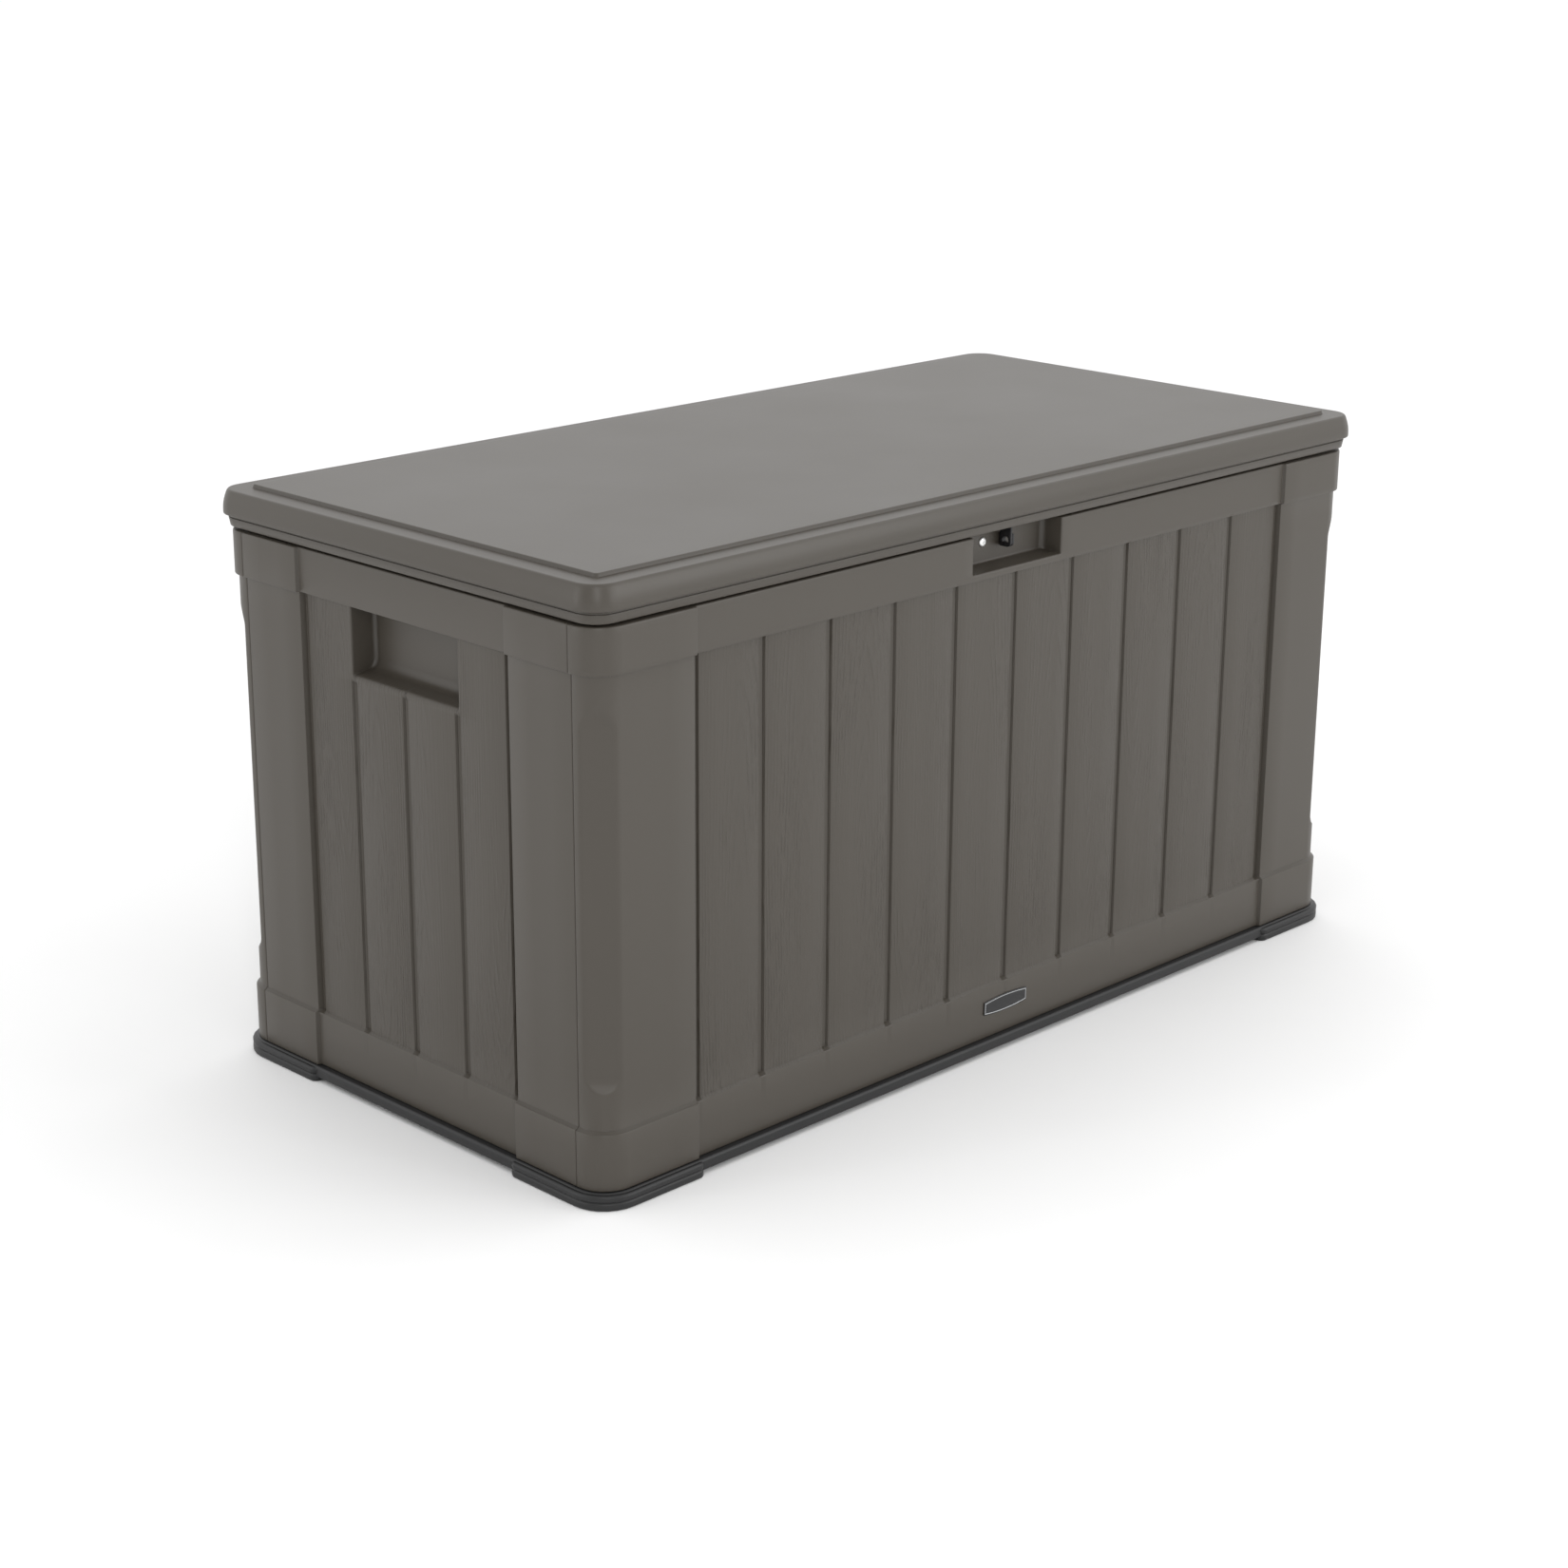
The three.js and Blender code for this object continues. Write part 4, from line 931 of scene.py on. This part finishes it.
zinc = metal("zinc_plate", ZINC_DARK, ZINC_LIGHT, 1.0, 0.30, 700.0)
leaf_bottom = lid_bottom + POCKET_GAP
for place in ("left", "middle", "right"):
    pin_low, pin_high = cad(f"hinge_{place}_pin")
    left, right = pin_low[0], pin_high[0]
    pin_y, pin_z = (pin_low[1] + pin_high[1]) / 2, (pin_low[2] + pin_high[2]) / 2
    wall_low = cad(f"hinge_{place}_wall_leaf")[0]
    lid_leaf_low = cad(f"hinge_{place}_lid_leaf")[0]
    wall_link = pin_z - KNUCKLE
    wall_leaf = block(
        (left, wall_low[1], wall_low[2]), (right, wall_low[1] + LEAF_THICK, wall_link + 2), LEAF_ROUND,
    )
    lid_leaf = block(
        (left, lid_leaf_low[1], leaf_bottom),
        (right, pin_y - KNUCKLE - POCKET_GAP, leaf_bottom + LEAF_THICK), LEAF_ROUND,
    )
    knuckle = (right - left) / KNUCKLES
    for i in range(KNUCKLES):
        from_x = left + i * knuckle + KNUCKLE_GAP
        to_x = from_x + knuckle - 2 * KNUCKLE_GAP
        tube = barrel((from_x, pin_y, pin_z), (to_x, pin_y, pin_z), KNUCKLE, PIN_HOLE)
        if i % 2:
            link_low = (from_x, pin_y - KNUCKLE - 1, leaf_bottom)
            link_high = (to_x, pin_y - PIN_HOLE, leaf_bottom + LEAF_THICK)
            lid_leaf = join(lid_leaf, tube, block(link_low, link_high, LINK_ROUND))
        else:
            link_low = (from_x, wall_low[1], wall_link)
            link_high = (to_x, pin_y - 1, wall_link + 1.6)
            wall_leaf = join(wall_leaf, tube, block(link_low, link_high, LINK_ROUND))
    make(f"hinge_{place}_wall_leaf", wall_leaf, zinc, "box")
    make(f"hinge_{place}_lid_leaf", lid_leaf, zinc, "lid")
    pin_length = right - left
    pin_radius = (pin_high[2] - pin_low[2]) / 2
    pin_profile = (
        (0, 0), (0.1, pin_radius * 0.6), (0.6, pin_radius),
        (pin_length - 0.6, pin_radius), (pin_length - 0.1, pin_radius * 0.6), (pin_length, 0),
    )
    pin = turned(pin_profile, (left, pin_y, pin_z), (1, 0, 0))
    pin_name = f"hinge_{place}_pin"
    make(pin_name, pin, zinc, frame["nodes"][pin_name]["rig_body"])


# ---- Gas struts ----
# Two black gas springs, one inside each end panel. The tube turns on a stud of the wall bracket; the
# polished rod slides in it and ends in an eye on the lid bracket's boss. Brackets are black-coated steel.
EYE = 8
EYE_HALF = 4
EYE_HOLE = 4.3
EYE_INSET = 14.5
ROD_EYE_HOLE = 0.6
TUBE_PROFILE = (
    (7, 0), (7, 4), (14, 4), (14.4, 7.6), (16, 9), (243.5, 9), (244.2, 8.6), (244.9, 8.9), (246, 8),
    (246, 4.3), (240, 4.3), (240, 7.5), (20, 7.5), (20, 0),
)
PISTON_PROFILE = ((34, 0), (34, 6.9), (42, 6.9), (42, 4))
ROD_END_PROFILE = ((12, 4), (11, 5), (5, 5), (5, 0))
STUD_PROFILE = ((0, 0), (0, 4), (17.0, 4), (17.0, 6), (18.6, 6), (19.4, 5), (19.4, 0))
BOSS_PROFILE = ((0, 0), (0, 6), (3.3, 6), (3.7, 5.6), (3.7, 0))
PLATE_THICK = 2
PLATE_ROUND = 0.7
FOOT_ROUND = 0.6
LEG_INNER = 7.3
LEG_OUTER = 9.3
FOOT_INNER = 12.7
STRUT_BLACK_DARK = (0.008, 0.008, 0.009, 1)
STRUT_BLACK_LIGHT = (0.016, 0.016, 0.017, 1)
CHROME_DARK = (0.62, 0.63, 0.64, 1)
CHROME_LIGHT = (0.78, 0.79, 0.80, 1)
black_steel = metal("black_coated_steel", STRUT_BLACK_DARK, STRUT_BLACK_LIGHT, 0.15, 0.34, 900.0)
tube_paint = metal("black_tube_paint", STRUT_BLACK_DARK, STRUT_BLACK_LIGHT, 0.0, 0.18, 500.0)
chrome = metal("polished_rod_steel", CHROME_DARK, CHROME_LIGHT, 1.0, 0.08, 1200.0)
for side, sign in (("left", -1), ("right", 1)):
    strut = f"strut_{side}"
    plate_low, plate_high = cad(f"{strut}_wall_bracket")
    lid_plate_low, lid_plate_high = cad(f"{strut}_lid_bracket")
    eye_x = sign * (inner_x - EYE_INSET)
    plate_middle = (plate_low + plate_high) / 2
    wall_pivot = Vector((eye_x, plate_middle[1], plate_middle[2]))
    lid_pivot = Vector((eye_x, (lid_plate_low[1] + lid_plate_high[1]) / 2, lid_plate_low[2] + EYE))
    run = lid_pivot - wall_pivot
    across = Vector((EYE_HALF, 0, 0))
    tube = turned(TUBE_PROFILE, wall_pivot, run, 32)
    tube_eye = barrel(wall_pivot - across, wall_pivot + across, EYE, EYE_HOLE)
    make(f"{strut}_tube", join(tube, tube_eye), tube_paint, f"{strut}_tube")
    rod_end = tuple((run.length - from_eye, radius) for from_eye, radius in ROD_END_PROFILE)
    rod = turned(PISTON_PROFILE + rod_end, wall_pivot, run, 24)
    rod_eye = barrel(lid_pivot - across, lid_pivot + across, EYE, ROD_EYE_HOLE)
    make(f"{strut}_rod", join(rod, rod_eye), chrome, f"{strut}_rod")
    outer_x = sign * (inner_x - PANEL_GAP)
    plate_xs = sorted((outer_x, outer_x - sign * PLATE_THICK))
    plate = block((plate_xs[0], *plate_low[1:]), (plate_xs[1], *plate_high[1:]), PLATE_ROUND)
    stud_start = Vector((outer_x - sign, wall_pivot.y, wall_pivot.z))
    stud = turned(STUD_PROFILE, stud_start, (-sign, 0, 0))
    make(f"{strut}_wall_bracket", join(plate, stud), black_steel, "box")
    leg_xs = sorted((sign * (abs(eye_x) + LEG_INNER), sign * (abs(eye_x) + LEG_OUTER)))
    foot_xs = sorted((sign * (abs(eye_x) - FOOT_INNER), sign * (abs(eye_x) + LEG_OUTER)))
    from_y, to_y = lid_plate_low[1], lid_plate_high[1]
    foot = block((foot_xs[0], from_y, leaf_bottom), (foot_xs[1], to_y, leaf_bottom + PLATE_THICK), FOOT_ROUND)
    leg = block((leg_xs[0], from_y, lid_plate_low[2]), (leg_xs[1], to_y, leaf_bottom + 1.4), PLATE_ROUND)
    boss_start = Vector((sign * (abs(eye_x) + EYE), lid_pivot.y, lid_pivot.z))
    boss = turned(BOSS_PROFILE, boss_start, (-sign, 0, 0))
    make(f"{strut}_lid_bracket", join(foot, leg, boss), black_steel, "lid")


# ---- Padlock fittings ----
# A black steel lock plate inside the front panel puts its lug out through a slot in the latch recess. A
# tab screwed under the lid comes down beside it, and a padlock goes through both holes.
LOCK_HOLE = 4.5
LOCK_ROUND = 6
LOCK_DROP = 27
LOCK_HOLE_RISE = 7.7
LOCK_HOLE_BACK = 8
LOCK_FRONT_INSET = 9
TAB_GAP = 0.15
TAB_STEEL = 3
lock_low = lid_bottom - LOCK_DROP
lock_front = -(half_depth + POST_PROUD - LOCK_FRONT_INSET)
lock_hole = (lock_front + LOCK_HOLE_BACK, lock_low + LOCK_HOLE_RISE)


def lock_cheek(back, top, from_x, to_x):
    """An upright plate with a round lower front corner and a hole."""
    turns = [math.pi * (1 + i / 12) for i in range(7)]
    outline = [(back, lock_low), (back, top), (lock_front, top)] + [
        (lock_front + LOCK_ROUND * (1 + math.cos(turn)), lock_low + LOCK_ROUND * (1 + math.sin(turn)))
        for turn in turns
    ]
    bm = bmesh.new()
    corners = [bm.verts.new((from_x, y, z)) for y, z in outline]
    face = bm.faces.new(corners)
    grown = bmesh.ops.extrude_face_region(bm, geom=[face])
    moved = [item for item in grown["geom"] if isinstance(item, bmesh.types.BMVert)]
    bmesh.ops.translate(bm, vec=(to_x - from_x, 0, 0), verts=moved)
    bmesh.ops.recalc_face_normals(bm, faces=bm.faces)
    bmesh.ops.bevel(bm, geom=bm.edges, offset=0.4, segments=2, affect="EDGES", profile=0.5)
    start = (from_x - 5, *lock_hole)
    drill = turned(((0, 0), (0, LOCK_HOLE), (14, LOCK_HOLE), (14, 0)), start, (1, 0, 0), 28)
    return carve(bm, drill)


lug_low, lug_high = cad("lock_plate")
lug = lock_cheek(lug_high[1] - 1, lug_high[2], TAB_GAP, lug_high[0])
back_plate = block((lug_low[0], lug_high[1] - PLATE_THICK, lug_low[2]), lug_high, 0.5)
make("lock_plate", join(lug, back_plate), black_steel, "box")
tab_low, tab_high = cad("lid_tab")
tab = lock_cheek(tab_high[1], tab_high[2] - 1, -TAB_STEEL - TAB_GAP, -TAB_GAP)
foot_high = (-TAB_GAP, tab_high[1], leaf_bottom + PLATE_THICK)
tab_foot = block((tab_low[0], tab_low[1], leaf_bottom), foot_high, 0.5)
make("lid_tab", join(tab, tab_foot), black_steel, "lid")


# ---- Screws ----
# Pan-head screws with a cross recess, zinc plated: in the lap tabs, up through the base, in the hinge
# leaves and brackets, and in the two padlock fittings.
HEAD_RADIUS = 4.2
LOCK_HEAD_RADIUS = 5.6
HEAD_HEIGHT = 2
SHANK = 2
THREAD_DEPTH = 0.45
THREAD_PITCH = 1.6
RECESS_LONG = 2.2
RECESS_THIN = 0.45
BRIGHT_DARK = (0.80, 0.80, 0.79, 1)
BRIGHT_LIGHT = (0.92, 0.92, 0.91, 1)
bright_zinc = metal("bright_zinc", BRIGHT_DARK, BRIGHT_LIGHT, 1.0, 0.34, 700.0)


def screw(length, head_radius):
    """A screw along +Z, with the underside of its head at the origin."""
    thread = []
    along = 1.0
    while along < length - 3:
        thread += [(along, SHANK), (along + THREAD_PITCH / 2, SHANK - THREAD_DEPTH)]
        along += THREAD_PITCH
    profile = [
        (-HEAD_HEIGHT, 0), (-HEAD_HEIGHT, head_radius * 0.48), (-HEAD_HEIGHT + 0.3, head_radius * 0.74),
        (-1.0, head_radius * 0.93), (-0.3, head_radius), (0, head_radius - 0.2), (0, SHANK), *thread,
        (length - 2, SHANK - 0.3), (length, 0),
    ]
    body = turned(profile, (0, 0, 0), (0, 0, 1), 20)
    bar_low, bar_high = -HEAD_HEIGHT - 1, -0.9
    first = block((-RECESS_LONG, -RECESS_THIN, bar_low), (RECESS_LONG, RECESS_THIN, bar_high), 0)
    second = block((-RECESS_THIN, -RECESS_LONG, bar_low), (RECESS_THIN, RECESS_LONG, bar_high), 0)
    return carve(carve(body, first), second)


HEAD_SIDES = (
    ("corner_screw_front", (0, -1, 0)), ("corner_screw_back", (0, 1, 0)), ("base_screw", (0, 0, 1)),
    ("lid_screw", (0, 0, 1)), ("wall_screw_left", (0, -1, 0)), ("wall_screw_right", (0, -1, 0)),
    ("strut_left_wall", (-1, 0, 0)), ("strut_right_wall", (1, 0, 0)), ("lock_plate_screw", (0, 1, 0)),
    ("lid_tab_screw", (0, 0, 1)),
)
for node in sorted(name for name in frame["nodes"] if "screw" in name):
    towards = Vector(next(way for part, way in HEAD_SIDES if part in node))
    screw_low, screw_high = cad(node)
    length = float(np.dot(screw_high - screw_low, [abs(axis) for axis in towards])) - HEAD_HEIGHT
    middle = Vector((screw_low + screw_high) / 2)
    under_head = middle - towards * (length - HEAD_HEIGHT) / 2
    on_lock = node == "lock_plate_screw"
    made = screw(length, LOCK_HEAD_RADIUS if on_lock else HEAD_RADIUS)
    turn = Vector((0, 0, 1)).rotation_difference(towards).to_matrix().to_4x4()
    bmesh.ops.transform(made, matrix=Matrix.Translation(under_head) @ turn, verts=made.verts)
    plating = bright_zinc if on_lock else zinc
    make(node, made, plating, frame["nodes"][node]["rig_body"])


# ---- Badge ----
# A blank black plate with arched upper and lower edges and a fine light border, stuck on the lower band.
badge_low, badge_high = cad("badge_plate")
BADGE_ARCH = 2.4
BADGE_RINGS = ((0, 0), (0, 0.9), (0.35, 1.25), (0.9, 1.4), (1.3, 1.4), (2.1, 1.4), (2.5, 1.2), (3.4, 1.2))
BORDER_RING = 4
badge_half = ((badge_high[0] - badge_low[0]) / 2, (badge_high[2] - badge_low[2]) / 2)
badge_middle = (badge_low[2] + badge_high[2]) / 2


def badge_ring(inset, out):
    """A loop round the badge's face, drawn in by inset and standing out from the wall by out."""
    half = badge_half[0] - inset
    shares = np.linspace(-1, 1, 17)
    rise = badge_half[1] - inset - BADGE_ARCH * shares ** 2
    upper = [(share * half, badge_high[1] - out, badge_middle + up) for share, up in zip(shares, rise)]
    lower = [(share * half, badge_high[1] - out, badge_middle - up) for share, up in zip(shares, rise)]
    return np.array(upper + lower[::-1])


badge = stack([badge_ring(inset, out) for inset, out in BADGE_RINGS])
per_ring = len(badge_ring(0, 0))
for face in list(badge.faces)[BORDER_RING * per_ring:(BORDER_RING + 1) * per_ring]:
    face.material_index = 1
badge_black = metal("badge_enamel", STRUT_BLACK_DARK, STRUT_BLACK_LIGHT, 0.0, 0.16, 300.0)
badge_border = metal("badge_border", ZINC_DARK, ZINC_LIGHT, 0.4, 0.35, 600.0)
make("badge_plate", badge, [badge_black, badge_border], "box")
